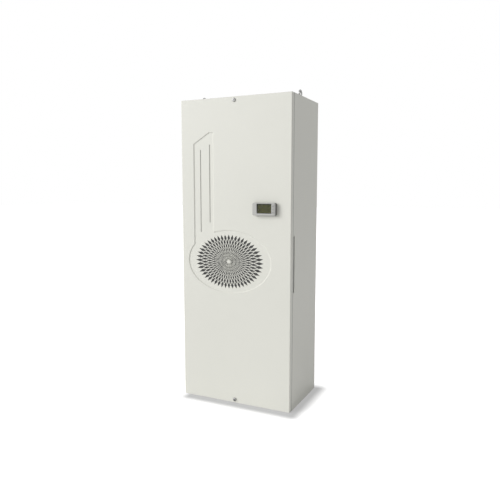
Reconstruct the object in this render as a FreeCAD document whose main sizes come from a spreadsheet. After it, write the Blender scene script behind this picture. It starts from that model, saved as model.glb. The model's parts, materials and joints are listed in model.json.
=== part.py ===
import FreeCAD, Part
import math
import os
import re
import Sketcher

Vector = FreeCAD.Vector
Rotation = FreeCAD.Rotation

# Enclosure air conditioner, hung by its rear face on the wall or door of a cabinet.
# Millimetres. X points to the right seen from the front, Y to the rear, Z up.
# The origin is at the bottom edge of the rear face, half way across.
# A depth is a distance forward of the rear face, so a point at a depth has Y = -depth.

DIMENSIONS = (
    ("case_width", 400, "outside width of the casing"),
    ("case_height", 1016, "outside height of the casing"),
    ("unit_depth", 245, "rear face to the front sheet"),
    ("gauge", 1.5, "thickness of the casing sheet"),
    ("return_width", 10, "folded edge of a side panel"),
    ("lip_depth", 18, "folded front edge of the top panel"),
    ("pan_lift", 20, "underside of the base pan above the ground"),
    ("fit_gap", 0.3, "clearance round a piece in its cut-out"),
    ("cover_flange", 16.5, "depth of the front cover"),
    ("seam", 2, "shadow gap between the cover and the casing"),
    ("cover_corner", 3, "bend radius of the cover's upright edges"),
    ("cover_edge", 1.2, "rounding of the cover's top and bottom edges"),
    ("slit_tall", 182, "air slit in a side panel, upright"),
    ("slit_reach", 8, "air slit in a side panel, front to rear"),
    ("slit_edge", 4, "air slit from the panel's front edge"),
    ("grille_x", "=-case_width * 0.055", "grille centre from the middle of the unit"),
    ("grille_height", "=case_height * 0.47441", "grille centre above the ground"),
    ("grille_half_width", "=case_width * 0.3175", "grille centre to its side tips"),
    ("grille_half_height", "=case_width * 0.2275", "grille centre to its top tips"),
    ("grille_boss", 3.5, "plain metal in the middle of the grille"),
    ("grille_rings", 7, "ovals of holes in the grille"),
    ("grille_spokes", 48, "holes round each oval"),
    ("ring_taper", 0.6, "length of the innermost holes to that of the outermost"),
    ("hole_share", 0.8, "size of a grille hole in its cell"),
    ("filter_gauge", 4, "filter mat behind the grille"),
    ("filter_edge", 8, "filter mat beyond the grille's tips"),
    ("recess_half_width", "=case_width * 0.38625", "pressed oval, centre to side"),
    ("recess_half_height", "=case_width * 0.26375", "pressed oval, centre to top"),
    ("recess_depth", 2.5, "depth of the pressed field"),
    ("recess_slope", 3, "width of its slanted wall"),
    ("stem_left", "=case_width * 0.38375", "left edge of the pressed stem from the middle"),
    ("stem_right", "=case_width * 0.19125", "right edge of the pressed stem from the middle"),
    ("stem_shoulder", "=case_height * 0.8583", "height of the stem's left corner"),
    ("stem_crown", "=case_height * 0.8937", "height of the stem's right corner"),
    ("crease_width", 3.5, "upright crease in the stem"),
    ("crease_depth", 1.2, "depth of a crease"),
    ("left_crease", "=case_width * 0.3175", "left crease from the middle"),
    ("right_crease", "=case_width * 0.23", "right crease from the middle"),
    ("left_crease_foot", "=case_height * 0.5689", "lower end of the left crease"),
    ("left_crease_top", "=case_height * 0.8386", "upper end of the left crease"),
    ("right_crease_foot", "=case_height * 0.6014", "lower end of the right crease"),
    ("right_crease_top", "=case_height * 0.8543", "upper end of the right crease"),
    ("crown_width", 17.5, "level stretch at the top of the stem"),
    ("screw_inset", 11, "cover screw from the cover's edge"),
    ("screw_radius", 3, "thread of the cover screws and weld nuts"),
    ("screw_head_radius", 6.5, "head of a cover screw"),
    ("screw_head_height", 4, "height of that head"),
    ("screw_head_flat", 4, "flat middle of that head, radius"),
    ("spacer_radius", 5.5, "spacer behind a cover screw"),
    ("thread_play", 0.1, "clearance of a screw in its nut"),
    ("nut_radius", 7.2, "weld nut, from its middle to a corner"),
    ("nut_pilot", 4.5, "round neck of a weld nut in the sheet's hole"),
    ("nut_height", 6, "height of a weld nut"),
    ("mount_inset", 35, "mounting points from the sides of the casing"),
    ("mount_rise", 60, "mounting points from its top and bottom"),
    ("seal_width", 10, "foam seal, width"),
    ("seal_depth", 3, "foam seal, depth of its channel"),
    ("seal_inset", 15, "foam seal from the top and bottom edges"),
    ("eye_inset", 20, "eye bolt from the side of the casing"),
    ("eye_ring", 10, "middle radius of an eye"),
    ("eye_wire", 3, "radius of the eye's round section"),
    ("eye_collar", 3, "height of the collar under the eye"),
    ("eye_collar_radius", 8, "radius of that collar"),
    ("eye_thread", 4, "thread of an eye bolt"),
    ("eye_nut", 7, "radius of its hexagon nut"),
    ("eye_nut_height", 6.5, "height of that nut"),
    ("panel_x", "=case_width * 0.27875", "controller from the middle of the unit"),
    ("panel_height", "=case_height * 0.6481", "controller above the ground"),
    ("bezel_width", 80, "controller face"),
    ("bezel_tall", 40, "controller face"),
    ("bezel_proud", 13, "bezel, front to back"),
    ("bezel_round", 5, "rounding of the bezel's corners"),
    ("bezel_edge", 2, "rounding of the bezel's front edge"),
    ("bezel_wall", 2.5, "wall of the bezel"),
    ("gasket_gauge", 1, "controller gasket"),
    ("lens_width", 51, "display window"),
    ("lens_tall", 31, "display window"),
    ("lens_left", 15.5, "window from the bezel's left edge"),
    ("lens_top", 2.5, "window from the bezel's top edge"),
    ("lens_gauge", 1.2, "thickness of the window"),
    ("lens_rebate", 1.5, "step that the window is glued on"),
    ("case_wide", 71, "controller case behind the cover"),
    ("case_tall", 29, "controller case behind the cover"),
    ("case_reach", 55, "controller case, behind the cover's face"),
    ("case_wall", 2, "wall of that case"),
    ("clip_width", 6, "clip beside the controller case"),
    ("clip_tall", 20, "clip beside the controller case"),
    ("clip_reach", 14, "clip, front to back"),
    ("board_gauge", 1.6, "circuit board"),
    ("display_gauge", 4, "display module on the board"),
    ("key_size", 7, "key cap, width and height"),
    ("key_pitch", 10.5, "key to key"),
    ("key_edge", 7.5, "middle of the keys from the bezel's right edge"),
    ("key_proud", 1, "key cap in front of the bezel"),
    ("key_travel", 0.8, "stroke of a key"),
    ("fan_radius", 85, "condenser fan, blade tips"),
    ("fan_hub", 32, "condenser fan, hub"),
    ("fan_blades", 7, "blades of the condenser fan"),
    ("fan_tip_gap", 3, "blade tip to the fan plate's collar"),
    ("blade_gauge", 2, "thickness of a fan blade"),
    ("blade_chord", 62, "width of a fan blade"),
    ("blade_root", 22.4, "a blade begins at this radius, in the hub"),
    ("root_pitch", 32, "blade angle at the hub"),
    ("tip_pitch", 20, "blade angle at the tip"),
    ("hub_length", 30, "condenser fan, hub front to back"),
    ("shaft_radius", 4, "shaft of both fans"),
    ("shaft_play", 0.05, "running clearance on the shaft"),
    ("motor_radius", 30, "body of both fan motors"),
    ("motor_length", 22, "body of both fan motors"),
    ("motor_gap", 3, "motor to the fan that it turns"),
    ("motor_clear", 6.5, "motor bracket to the condenser coil"),
    ("collar_length", 20, "collar of the condenser fan plate"),
    ("strut_width", 10, "strut of a motor bracket"),
    ("strut_gauge", 2, "thickness of that strut"),
    ("strut_gap", 8, "strut to the collar or the impeller"),
    ("coil_rear", 100, "rear of the condenser coil"),
    ("coil_thick", 44, "both coils, front to rear"),
    ("coil_inset", 28, "condenser fins from the casing's left side"),
    ("coil_clear", 72, "condenser fins from the casing's right side"),
    ("coil_drop", 10, "condenser fins below the chamber floor"),
    ("fin_pitch", 15, "groove to groove in the fins"),
    ("fin_groove", 6, "width of a groove"),
    ("fin_cut", 6, "depth of a groove"),
    ("bend_radius", 19, "half the distance between two tubes"),
    ("tube_radius", 4.5, "tubes of both coils and the pipes"),
    ("shelf_height", "=case_height * 0.3396", "top of the shelf under the condenser"),
    ("chamber_floor", "=case_height * 0.6152", "underside of the cooling chamber's floor"),
    ("chamber_depth", 170, "front wall of the cooling chamber"),
    ("cooler_inset", 50, "evaporator fins from the casing's sides"),
    ("cooler_rear", 55, "rear of the evaporator"),
    ("cooler_low", "=case_height * 0.6447", "lower edge of the evaporator fins"),
    ("cooler_high", "=case_height * 0.7825", "upper edge of the evaporator fins"),
    ("blower_drop", 116, "evaporator fan below the top"),
    ("blower_radius", 75, "evaporator fan"),
    ("blower_eye", 52, "intake of that fan"),
    ("blower_front", 24, "its blades begin at this depth"),
    ("blower_width", 34, "length of its blades"),
    ("blower_blades", 9, "blades of the evaporator fan"),
    ("blower_lean", 35, "slant of those blades"),
    ("blower_disc", 2, "thickness of its two discs"),
    ("blower_hub", 12, "hub of that fan"),
    ("intake_radius", 48, "bore of the intake ring"),
    ("intake_flange", 64, "flange of the intake ring"),
    ("guard_wire", 2, "bar of the intake guard"),
    ("guard_ring", 3, "width of its rings"),
    ("guard_middle", 25, "its inner ring, outside"),
    ("outlet_half_width", 130, "cold air outlet from the middle"),
    ("outlet_low", "=case_height * 0.6496", "lower edge of the cold air outlet"),
    ("outlet_high", "=case_height * 0.7244", "upper edge of the cold air outlet"),
    ("slat_pitch", 15, "slat to slat in the outlet"),
    ("slat_gauge", 2, "thickness of a slat"),
    ("slat_reach", 10, "slat, front to rear"),
    ("tray_inset", 8, "condensate tray inside the ends of the evaporator"),
    ("tray_rear", 20, "rear of the condensate tray"),
    ("tray_length", 120, "condensate tray, front to rear"),
    ("tray_tall", 18, "height of the condensate tray"),
    ("tray_edge", 1, "edge of a tray sheet beyond the next wall"),
    ("drain_inset", 22, "drain tube from the right end of the tray"),
    ("drain_depth", 30, "drain tube from the rear face"),
    ("drain_radius", 7, "drain tube, outside"),
    ("drain_bore", 4.5, "drain tube, inside"),
    ("spout_radius", 6, "end of the drain tube, outside"),
    ("spout_length", 14, "end of the drain tube"),
    ("spout_height", 4, "end of the drain tube above the ground"),
    ("shell_inset", 105, "compressor from the casing's left side"),
    ("shell_depth", 110, "compressor from the rear face"),
    ("shell_radius", 68, "compressor shell"),
    ("shell_tall", 222, "compressor shell"),
    ("shell_dome", 30, "rounding of the shell's ends"),
    ("weld_height", 70, "weld round the shell, from its foot"),
    ("foot_radius", 84, "compressor bolts from the shell's axis"),
    ("foot_round", 15, "rounding of the foot plate"),
    ("foot_gauge", 3, "foot plate"),
    ("mount_height", 12, "rubber mount under the foot plate"),
    ("mount_radius", 12, "rubber mount"),
    ("mount_neck", 8, "rubber mount in the foot plate"),
    ("mount_cap", 4, "rubber mount above the foot plate"),
    ("bolt_radius", 3, "compressor bolt"),
    ("bolt_head", 9, "head of a compressor bolt"),
    ("dryer_radius", 12, "filter dryer"),
    ("dryer_length", 110, "filter dryer"),
    ("can_radius", 25, "suction accumulator"),
    ("can_tall", 140, "suction accumulator"),
    ("can_dome", 14, "rounding of the accumulator's ends"),
    ("can_foot", 95, "lower end of the accumulator"),
    ("can_gap", 8, "accumulator to the compressor shell"),
    ("capillary_radius", 1.6, "capillary tube"),
    ("pipe_bend", 10, "bend of the pipes"),
    ("box_left", 80, "left side of the electrical box"),
    ("box_rear", 130, "rear of the electrical box"),
    ("box_reach", 85, "electrical box, front to rear"),
    ("box_foot", 60, "electrical box above the ground"),
    ("box_tall", 190, "electrical box"),
    ("capacitor_radius", 20, "run capacitor"),
    ("capacitor_tall", 80, "run capacitor"),
    ("terminal_width", 80, "terminal block"),
    ("terminal_tall", 26, "terminal block"),
    ("terminal_reach", 30, "terminal block, front to rear"),
    ("terminal_rise", 110, "terminal block above the box's floor"),
    ("terminal_ways", 8, "clamps of the terminal block"),
    ("terminal_wall", 2, "wall beside a clamp"),
    ("slot_width", 10, "exhaust slot in the base pan"),
    ("slot_length", 90, "exhaust slot in the base pan"),
    ("slot_pitch", 18, "exhaust slot to slot"),
    ("slot_start", 25, "first exhaust slot from the middle"),
    ("slot_rear", 60, "exhaust slots from the rear face"),
    ("grommet_x", -130, "cable grommet from the middle"),
    ("grommet_height", 300, "cable grommet above the ground"),
    ("grommet_radius", 11, "cable grommet in the rear panel"),
    ("grommet_flange", 15, "flange of the cable grommet"),
)

doc = FreeCAD.newDocument("enclosure_air_conditioner")
sheet = doc.addObject("Spreadsheet::Sheet", "dims")
for row, (alias, amount, meaning) in enumerate(DIMENSIONS, start=1):
    sheet.set(f"A{row}", alias)
    sheet.set(f"B{row}", str(amount))
    sheet.set(f"C{row}", meaning)
    sheet.setAlias(f"B{row}", alias)
doc.recompute()

ALIASES = {alias for alias, _, _ in DIMENSIONS}
WORD = re.compile(r"[a-z_]+")

# Places that several pieces share
HALF = "(case_width / 2)"
INNER = "(case_width / 2 - gauge)"
CASE_DEPTH = "(unit_depth - cover_flange - seam)"
EYE_X = "(case_width / 2 - eye_inset)"
MOUNT_X = "(case_width / 2 - mount_inset)"
BLOWER_HEIGHT = "(case_height - blower_drop)"
SHEET_BACK = "(unit_depth - gauge)"
UNDER_TOP = "(case_height - gauge)"
PAN_TOP = "(pan_lift + gauge)"
SEAL_BACK = "(gauge + seal_depth)"
SEAL_X = "(case_width / 2 - 2 * gauge - return_width - fit_gap)"
FLOOR_TOP = "(chamber_floor + gauge)"
MID_DEPTH = "(unit_depth / 2)"
BEZEL_BACK = "(unit_depth + gasket_gauge)"
BEZEL_FACE = "(unit_depth + gasket_gauge + bezel_proud)"
BEZEL_INNER = "(unit_depth + gasket_gauge + bezel_proud - bezel_wall)"
BOARD_BACK = "(unit_depth + gasket_gauge + case_wall)"
BOARD_FACE = "(unit_depth + gasket_gauge + case_wall + board_gauge)"
SWITCH_FACE = "(unit_depth + gasket_gauge + bezel_proud - bezel_wall - key_proud - key_travel - fit_gap)"
LENS_X = "(panel_x - bezel_width / 2 + lens_left + lens_width / 2)"
LENS_Z = "(panel_height + bezel_tall / 2 - lens_top - lens_tall / 2)"
KEY_X = "(panel_x + bezel_width / 2 - key_edge)"
COIL_LEFT = "(coil_inset - case_width / 2)"
COIL_RIGHT = "(case_width / 2 - coil_clear)"
COIL_FRONT = "(coil_rear + coil_thick)"
COIL_TOP = "(chamber_floor - coil_drop)"
FAN_MOTOR_BACK = "(coil_rear + coil_thick + motor_clear + strut_gauge)"
FAN_REAR = f"({FAN_MOTOR_BACK} + motor_length + motor_gap)"
FAN_FRONT = f"({FAN_REAR} + hub_length)"
PLATE_DEPTH = f"({FAN_REAR} + collar_length - gauge)"
COOLER_FRONT = "(cooler_rear + coil_thick)"
COOLER_HALF = "(case_width / 2 - cooler_inset)"
TRAY_HALF = "(case_width / 2 - cooler_inset - tray_inset)"
DRAIN_X = "(case_width / 2 - cooler_inset - tray_inset - drain_inset)"
TRAY_BED = f"({FLOOR_TOP} + gauge)"
TRAY_FRONT = "(tray_rear + tray_length)"
SHELL_X = "(shell_inset - case_width / 2)"
FOOT_LOW = "(pan_lift + gauge + mount_height)"
FOOT_TOP = "(pan_lift + gauge + mount_height + foot_gauge)"
SHELL_TOP = "(pan_lift + gauge + mount_height + shell_tall)"
CAN_X = "(shell_inset - case_width / 2 + shell_radius + can_gap + can_radius)"
COVER_SCREWS = ("screw_inset", "case_height - screw_inset")
ROD_SIDES = 8
PIPE_SIDES = 6
DOME_STEPS = 2


# Sizes and sketches

def bind(text):
    """The same expression with each alias looked up in the sheet."""
    return WORD.sub(lambda word: "dims." + word.group() if word.group() in ALIASES else word.group(), text)


def size(text):
    """The value of an expression, for what is worked out in code."""
    return float(sheet.evalExpression(bind(text)))


def new_body(label):
    piece = doc.addObject("PartDesign::Body", label)
    piece.Label = label
    return piece


def place(piece, x="0", depth="0", height="0", turn=None):
    """Put a piece in the unit; its position follows the sheet."""
    if turn is not None:
        piece.Placement = FreeCAD.Placement(Vector(0, 0, 0), turn)
    piece.setExpression("Placement.Base.x", bind(x))
    piece.setExpression("Placement.Base.y", bind(f"-({depth})"))
    piece.setExpression("Placement.Base.z", bind(height))
    return piece


# Turns local Z to the front of the unit, so that a local height is a depth.
FACING_FRONT = Rotation(Vector(1, 0, 0), 90)
FACING_REAR = Rotation(Vector(1, 0, 0), -90)


def drawing(piece, plane, offset="0"):
    """An empty sketch on one of the body's own planes, moved along the plane's normal."""
    sketch = piece.newObject("Sketcher::SketchObject", "drawing")
    support = [item for item in piece.Origin.OriginFeatures if item.Role == plane][0]
    sketch.AttachmentSupport = (support, [""])
    sketch.MapMode = "FlatFace"
    sketch.setExpression("AttachmentOffset.Base.z", bind(offset))
    return sketch


def hold(sketch, element, point, x, y):
    """Tie one point of a sketch to the sheet."""
    for kind, text in (("DistanceX", x), ("DistanceY", y)):
        index = sketch.addConstraint(Sketcher.Constraint(kind, -1, 1, element, point, size(text)))
        sketch.setExpression(f"Constraints[{index}]", bind(text))


def polygon(sketch, corners):
    """A closed outline through corners given as pairs of expressions."""
    first = sketch.GeometryCount
    count = len(corners)
    places = [Vector(size(x), size(y), 0) for x, y in corners]
    for index in range(count):
        sketch.addGeometry(Part.LineSegment(places[index], places[(index + 1) % count]), False)
    for index in range(count):
        after = first + (index + 1) % count
        sketch.addConstraint(Sketcher.Constraint("Coincident", first + index, 2, after, 1))
    for index, (x, y) in enumerate(corners):
        hold(sketch, first + index, 1, x, y)
    return sketch


def many_sided(x, y, radius, sides):
    """Corners of a regular outline that stands for a round section."""
    angles = [360 * (index + 0.5) / sides for index in range(sides)]
    return [(f"{x} + {radius} * cos({angle})", f"{y} + {radius} * sin({angle})") for angle in angles]


def rectangle(sketch, left, right, low, high):
    return polygon(sketch, [(left, low), (right, low), (right, high), (left, high)])


def circle(sketch, x, y, radius):
    element = sketch.addGeometry(Part.Circle(Vector(size(x), size(y), 0), Vector(0, 0, 1), size(radius)), False)
    hold(sketch, element, 3, x, y)
    index = sketch.addConstraint(Sketcher.Constraint("Radius", element, size(radius)))
    sketch.setExpression(f"Constraints[{index}]", bind(radius))
    return sketch


# Features

def pad(piece, sketch, length, back=False):
    feature = piece.newObject("PartDesign::Pad", "pad")
    feature.Profile = sketch
    feature.Reversed = back
    feature.setExpression("Length", bind(length))
    return feature


def pocket(piece, sketch, length, ahead=False):
    """Cut against the sketch's normal, or along it when ahead."""
    feature = piece.newObject("PartDesign::Pocket", "pocket")
    feature.Profile = sketch
    feature.Reversed = ahead
    feature.setExpression("Length", bind(length))
    return feature


def pocket_through(piece, sketch):
    """Cut both ways, through everything."""
    feature = piece.newObject("PartDesign::Pocket", "pocket")
    feature.Profile = sketch
    feature.Type = "ThroughAll"
    feature.SideType = "Symmetric"
    return feature


def turn_round(piece, corners, kind="PartDesign::Revolution", angle=360):
    """Turn an outline of radius and height pairs round the body's Z axis."""
    sketch = polygon(drawing(piece, "XZ_Plane"), corners)
    feature = piece.newObject(kind, "turned")
    feature.Profile = sketch
    feature.ReferenceAxis = (sketch, ["V_Axis"])
    feature.Angle = angle
    return feature


def dome(radius, rounding, level, way):
    """Corners of a rounded end at a level; way is 1 at the top and -1 at the bottom."""
    angles = [90 * step / DOME_STEPS for step in range(DOME_STEPS + 1)]
    corners = [
        (f"{radius} - {rounding} + {rounding} * cos({angle})",
         f"{level} - {way} * {rounding} * (1 - sin({angle}))")
        for angle in angles
    ]
    return corners if way > 0 else corners[::-1]


def axis_of(piece, role):
    return ([item for item in piece.Origin.OriginFeatures if item.Role == role][0], [""])


def ring_pattern(piece, feature, count):
    """Repeat a feature round the body's Z axis."""
    pattern = piece.newObject("PartDesign::PolarPattern", "ring")
    pattern.Originals = [feature]
    pattern.Axis = axis_of(piece, "Z_Axis")
    pattern.Angle = 360
    pattern.setExpression("Occurrences", bind(count))
    piece.Tip = pattern
    return pattern


def row_pattern(piece, feature, role, pitch, count):
    """Repeat a feature in a row along one of the body's axes."""
    pattern = piece.newObject("PartDesign::LinearPattern", "row")
    pattern.Originals = [feature]
    pattern.Direction = axis_of(piece, role)
    pattern.Mode = "Spacing"
    pattern.setExpression("Offset", bind(pitch))
    pattern.setExpression("Occurrences", bind(count))
    piece.Tip = pattern
    return pattern


def round_edges(piece, radius, chosen):
    """Round the edges of the last feature whose middle passes the test."""
    doc.recompute()
    base = piece.Tip
    names = [
        f"Edge{number}"
        for number, edge in enumerate(base.Shape.Edges, start=1)
        if chosen(edge, edge.BoundBox.Center)
    ]
    feature = piece.newObject("PartDesign::Fillet", "rounding")
    feature.Base = (base, names)
    feature.setExpression("Radius", bind(radius))
    return feature


def near(first, second):
    return abs(first - second) < 0.01


def upright(edge):
    return near(edge.BoundBox.XLength, 0) and near(edge.BoundBox.YLength, 0)


def fore_and_aft(edge):
    return near(edge.BoundBox.XLength, 0) and near(edge.BoundBox.ZLength, 0)


nodes = []


def node(piece):
    """Keep a finished sub-part."""
    nodes.append(piece)
    return piece


def group(label, members):
    """Several like solids that share one sub-part."""
    piece = doc.addObject("Part::Compound", label)
    piece.Label = label
    piece.Links = members
    return node(piece)


def block(piece, left, right, low, high, rear, front):
    """Add a box by its six faces, the last two as depths."""
    sketch = rectangle(drawing(piece, "XZ_Plane", rear), left, right, low, high)
    return pad(piece, sketch, f"{front} - ({rear})")


def box(name, left, right, low, high, rear, front):
    """A body that is one box."""
    piece = new_body(name)
    block(piece, left, right, low, high, rear, front)
    return piece


def joined(name, members):
    piece = doc.addObject("Part::MultiFuse", name)
    piece.Shapes = members
    return piece


def cut_from(name, base, tool):
    piece = doc.addObject("Part::Cut", name)
    piece.Base = base
    piece.Tool = tool
    return piece


# Casing of folded sheet

def side_panel(label, side):
    """A wall with its front, rear and top edges folded inwards; side is 1 on the right."""
    def across(text):
        return f"{side} * ({text})"

    piece = new_body(label)
    fold = f"{INNER} - return_width"
    outline = [
        (HALF, "0"),
        (HALF, f"-{CASE_DEPTH}"),
        (fold, f"-{CASE_DEPTH}"),
        (fold, f"gauge - {CASE_DEPTH}"),
        (INNER, f"gauge - {CASE_DEPTH}"),
        (INNER, "-2 * gauge"),
        (fold, "-2 * gauge"),
        (fold, "-gauge"),
        (INNER, "-gauge"),
        (INNER, "0"),
    ]
    walls = polygon(drawing(piece, "XY_Plane"), [(across(x), y) for x, y in outline])
    pad(piece, walls, UNDER_TOP)
    edge = rectangle(drawing(piece, "XY_Plane", UNDER_TOP), across(HALF), across(INNER), f"-{CASE_DEPTH}", "0")
    pad(piece, edge, "gauge")
    top_fold = rectangle(
        drawing(piece, "XY_Plane", UNDER_TOP),
        across(INNER),
        across(fold),
        f"gauge - {CASE_DEPTH}",
        "-2 * gauge",
    )
    pad(piece, top_fold, "gauge", back=True)
    slit = rectangle(
        drawing(piece, "YZ_Plane"),
        f"slit_edge - {CASE_DEPTH}",
        f"slit_edge + slit_reach - {CASE_DEPTH}",
        "grille_height - slit_tall / 2",
        "grille_height + slit_tall / 2",
    )
    pocket_through(piece, slit)
    return node(piece)


def top_panel():
    """The lid of the casing, with a front lip for the upper cover screw."""
    piece = new_body("top_panel")
    block(piece, f"-{INNER}", INNER, UNDER_TOP, "case_height", "0", CASE_DEPTH)
    lip = f"{INNER} - return_width"
    low = f"{UNDER_TOP} - lip_depth"
    block(piece, f"-({lip})", lip, low, UNDER_TOP, f"{CASE_DEPTH} - gauge", CASE_DEPTH)
    bolt_holes = drawing(piece, "XY_Plane", "case_height")
    for side in (f"-{EYE_X}", EYE_X):
        circle(bolt_holes, side, f"-{MID_DEPTH}", "eye_thread + fit_gap")
    pocket(piece, bolt_holes, "gauge")
    nut_hole = drawing(piece, "XZ_Plane", CASE_DEPTH)
    circle(nut_hole, "0", "case_height - screw_inset", "nut_pilot + fit_gap")
    pocket(piece, nut_hole, "gauge")
    return node(piece)


def foot_places():
    """The three compressor bolts as pairs of X and depth."""
    return [
        (f"{SHELL_X} + foot_radius * cos({angle})", f"shell_depth + foot_radius * sin({angle})")
        for angle in (30, 150, 270)
    ]


def base_pan():
    """The raised floor of the casing, with exhaust slots on the right and holes for bolts and drain."""
    piece = new_body("base_pan")
    block(piece, f"-{INNER}", INNER, "pan_lift", PAN_TOP, SEAL_BACK, f"{CASE_DEPTH} - gauge")
    holes = drawing(piece, "XY_Plane", PAN_TOP)
    for x, depth in foot_places():
        circle(holes, x, f"-({depth})", "bolt_radius + fit_gap")
    circle(holes, DRAIN_X, "-drain_depth", "drain_radius + fit_gap")
    pocket(piece, holes, "gauge")
    slot = rectangle(drawing(piece, "XY_Plane", PAN_TOP), "slot_start", "slot_start + slot_width",
                     "-slot_rear - slot_length", "-slot_rear")
    count = f"floor(({INNER} - return_width - slot_start) / slot_pitch)"
    row_pattern(piece, pocket(piece, slot, "gauge"), "X_Axis", "slot_pitch", count)
    return node(piece)


def base_flanges():
    """The strips that carry the base pan: one at each side, and one in front for the lower cover screw."""
    lip = new_body("base_lip")
    end = f"({INNER} - return_width)"
    block(lip, f"-{end}", end, "0", PAN_TOP, f"{CASE_DEPTH} - gauge", CASE_DEPTH)
    nut_hole = circle(drawing(lip, "XZ_Plane", CASE_DEPTH), "0", "screw_inset", "nut_pilot + fit_gap")
    pocket(lip, nut_hole, "gauge")
    members = [lip]
    for side in (1, -1):
        strip = new_body("base_strip")
        block(strip, f"{side} * {INNER}", f"{side} * ({INNER} - gauge)", "0", "pan_lift",
              SEAL_BACK, f"{CASE_DEPTH} - gauge")
        members.append(strip)
    return group("base_flanges", members)


def seal_frame(sketch, grow):
    """The outline of the rear seal, widened by grow on both edges."""
    for inset in (f"-({grow})", f"seal_width + {grow}"):
        rectangle(
            sketch,
            f"{inset} - {SEAL_X}",
            f"{SEAL_X} - ({inset})",
            f"seal_inset + {inset}",
            f"{UNDER_TOP} - seal_inset - ({inset})",
        )
    return sketch


MOUNT_POINTS = [(x, z) for x in (f"-{MOUNT_X}", MOUNT_X) for z in ("mount_rise", "case_height - mount_rise")]


def rear_panel():
    """The mounting face, with the air openings and a channel for the foam seal."""
    piece = new_body("rear_panel")
    block(piece, f"-{INNER}", INNER, "0", UNDER_TOP, "0", "gauge")
    pad(piece, seal_frame(drawing(piece, "XZ_Plane", "gauge"), "gauge"), "seal_depth")
    pocket(piece, seal_frame(drawing(piece, "XZ_Plane"), "0"), "seal_depth", ahead=True)
    openings = drawing(piece, "XZ_Plane")
    circle(openings, "0", BLOWER_HEIGHT, "intake_radius + guard_wire")
    circle(openings, "grommet_x", "grommet_height", "grommet_radius")
    rectangle(openings, "-outlet_half_width", "outlet_half_width", "outlet_low", "outlet_high")
    for x, z in MOUNT_POINTS:
        circle(openings, x, z, "nut_pilot + fit_gap")
    pocket(piece, openings, "gauge", ahead=True)
    return node(piece)


def rear_seal():
    piece = new_body("rear_seal")
    pad(piece, seal_frame(drawing(piece, "XZ_Plane"), "0"), "seal_depth")
    return node(piece)


def weld_nut(x, depth, height, turn):
    """A hexagon nut welded behind the sheet, with a neck that comes flush through its hole."""
    piece = new_body("weld_nut")
    hexagon = polygon(drawing(piece, "XY_Plane", "gauge"), many_sided("0", "0", "nut_radius", 6))
    pad(piece, hexagon, "nut_height")
    pad(piece, circle(drawing(piece, "XY_Plane"), "0", "0", "nut_pilot"), "gauge")
    bore = circle(drawing(piece, "XY_Plane"), "0", "0", "screw_radius + thread_play")
    pocket(piece, bore, "gauge + nut_height", ahead=True)
    return place(piece, x, depth, height, turn)


def weld_nuts():
    """Four nuts for the mounting bolts and two for the cover screws."""
    rear = [weld_nut(x, "0", height, FACING_FRONT) for x, height in MOUNT_POINTS]
    front = [weld_nut("0", CASE_DEPTH, height, FACING_REAR) for height in COVER_SCREWS]
    return group("weld_nuts", rear + front)


def eye_bolt(x):
    """A ring in the fore and aft plane on a collar and a threaded stem."""
    piece = new_body("eye_bolt")
    rise = "eye_collar + eye_ring + eye_wire / 2"
    turn_round(piece, [
        ("0", "-gauge - 2 * eye_nut_height"),
        ("eye_thread", "-gauge - 2 * eye_nut_height"),
        ("eye_thread", "0"),
        ("eye_collar_radius", "0"),
        ("eye_collar_radius", "eye_collar / 2"),
        ("eye_wire", "eye_collar + eye_wire"),
        ("0", "eye_collar + eye_wire"),
    ])
    wire = polygon(drawing(piece, "XZ_Plane"), many_sided("0", f"{rise} + eye_ring", "eye_wire", ROD_SIDES))
    axis = wire.addGeometry(Part.LineSegment(Vector(-1, size(rise), 0), Vector(1, size(rise), 0)), True)
    for end, x_place in ((1, "-eye_wire"), (2, "eye_wire")):
        hold(wire, axis, end, x_place, rise)
    ring = piece.newObject("PartDesign::Revolution", "ring")
    ring.Profile = wire
    ring.ReferenceAxis = (wire, ["Axis0"])
    ring.Angle = 360
    return place(piece, x, MID_DEPTH, "case_height")


def eye_nut(x):
    """The hexagon nut under the top panel."""
    piece = new_body("eye_nut")
    sketch = polygon(drawing(piece, "XY_Plane"), many_sided("0", "0", "eye_nut", 6))
    circle(sketch, "0", "0", "eye_thread + thread_play")
    pad(piece, sketch, "eye_nut_height", back=True)
    return place(piece, x, MID_DEPTH, UNDER_TOP)


# Cooling chamber

def chamber_partition():
    """The folded sheet that keeps the cabinet's air apart from the outside air."""
    piece = new_body("chamber_partition")
    block(piece, f"-{INNER}", INNER, "chamber_floor", FLOOR_TOP, SEAL_BACK, "chamber_depth + gauge")
    block(piece, f"-{INNER}", INNER, FLOOR_TOP, f"{UNDER_TOP} - gauge", "chamber_depth",
          "chamber_depth + gauge")
    holes = drawing(piece, "XY_Plane", FLOOR_TOP)
    circle(holes, DRAIN_X, "-drain_depth", "drain_radius + fit_gap")
    circle(holes, SUCTION_X, f"-{COOLER_ROW}", "tube_radius + fit_gap")
    circle(holes, CAPILLARY_X, f"-{LIQUID_DEPTH}", "capillary_radius + fit_gap")
    pocket(piece, holes, "gauge")
    return node(piece)


# Front cover

def oval_plug(name, front, rear, half_width, half_height, slope):
    """A solid oval round the grille's middle, smaller by the slope at its rear; front and rear are depths."""
    sections = []
    for depth, shrink in ((front, "0"), (rear, slope)):
        oval = doc.addObject("Part::Ellipse", f"{name}_edge")
        oval.setExpression("MajorRadius", bind(f"{half_width} - {shrink}"))
        oval.setExpression("MinorRadius", bind(f"{half_height} - {shrink}"))
        sections.append(place(oval, "grille_x", depth, "grille_height", FACING_FRONT))
    plug = doc.addObject("Part::Loft", name)
    plug.Label = name
    plug.Sections = sections
    plug.Solid = True
    plug.Ruled = True
    return plug


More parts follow.
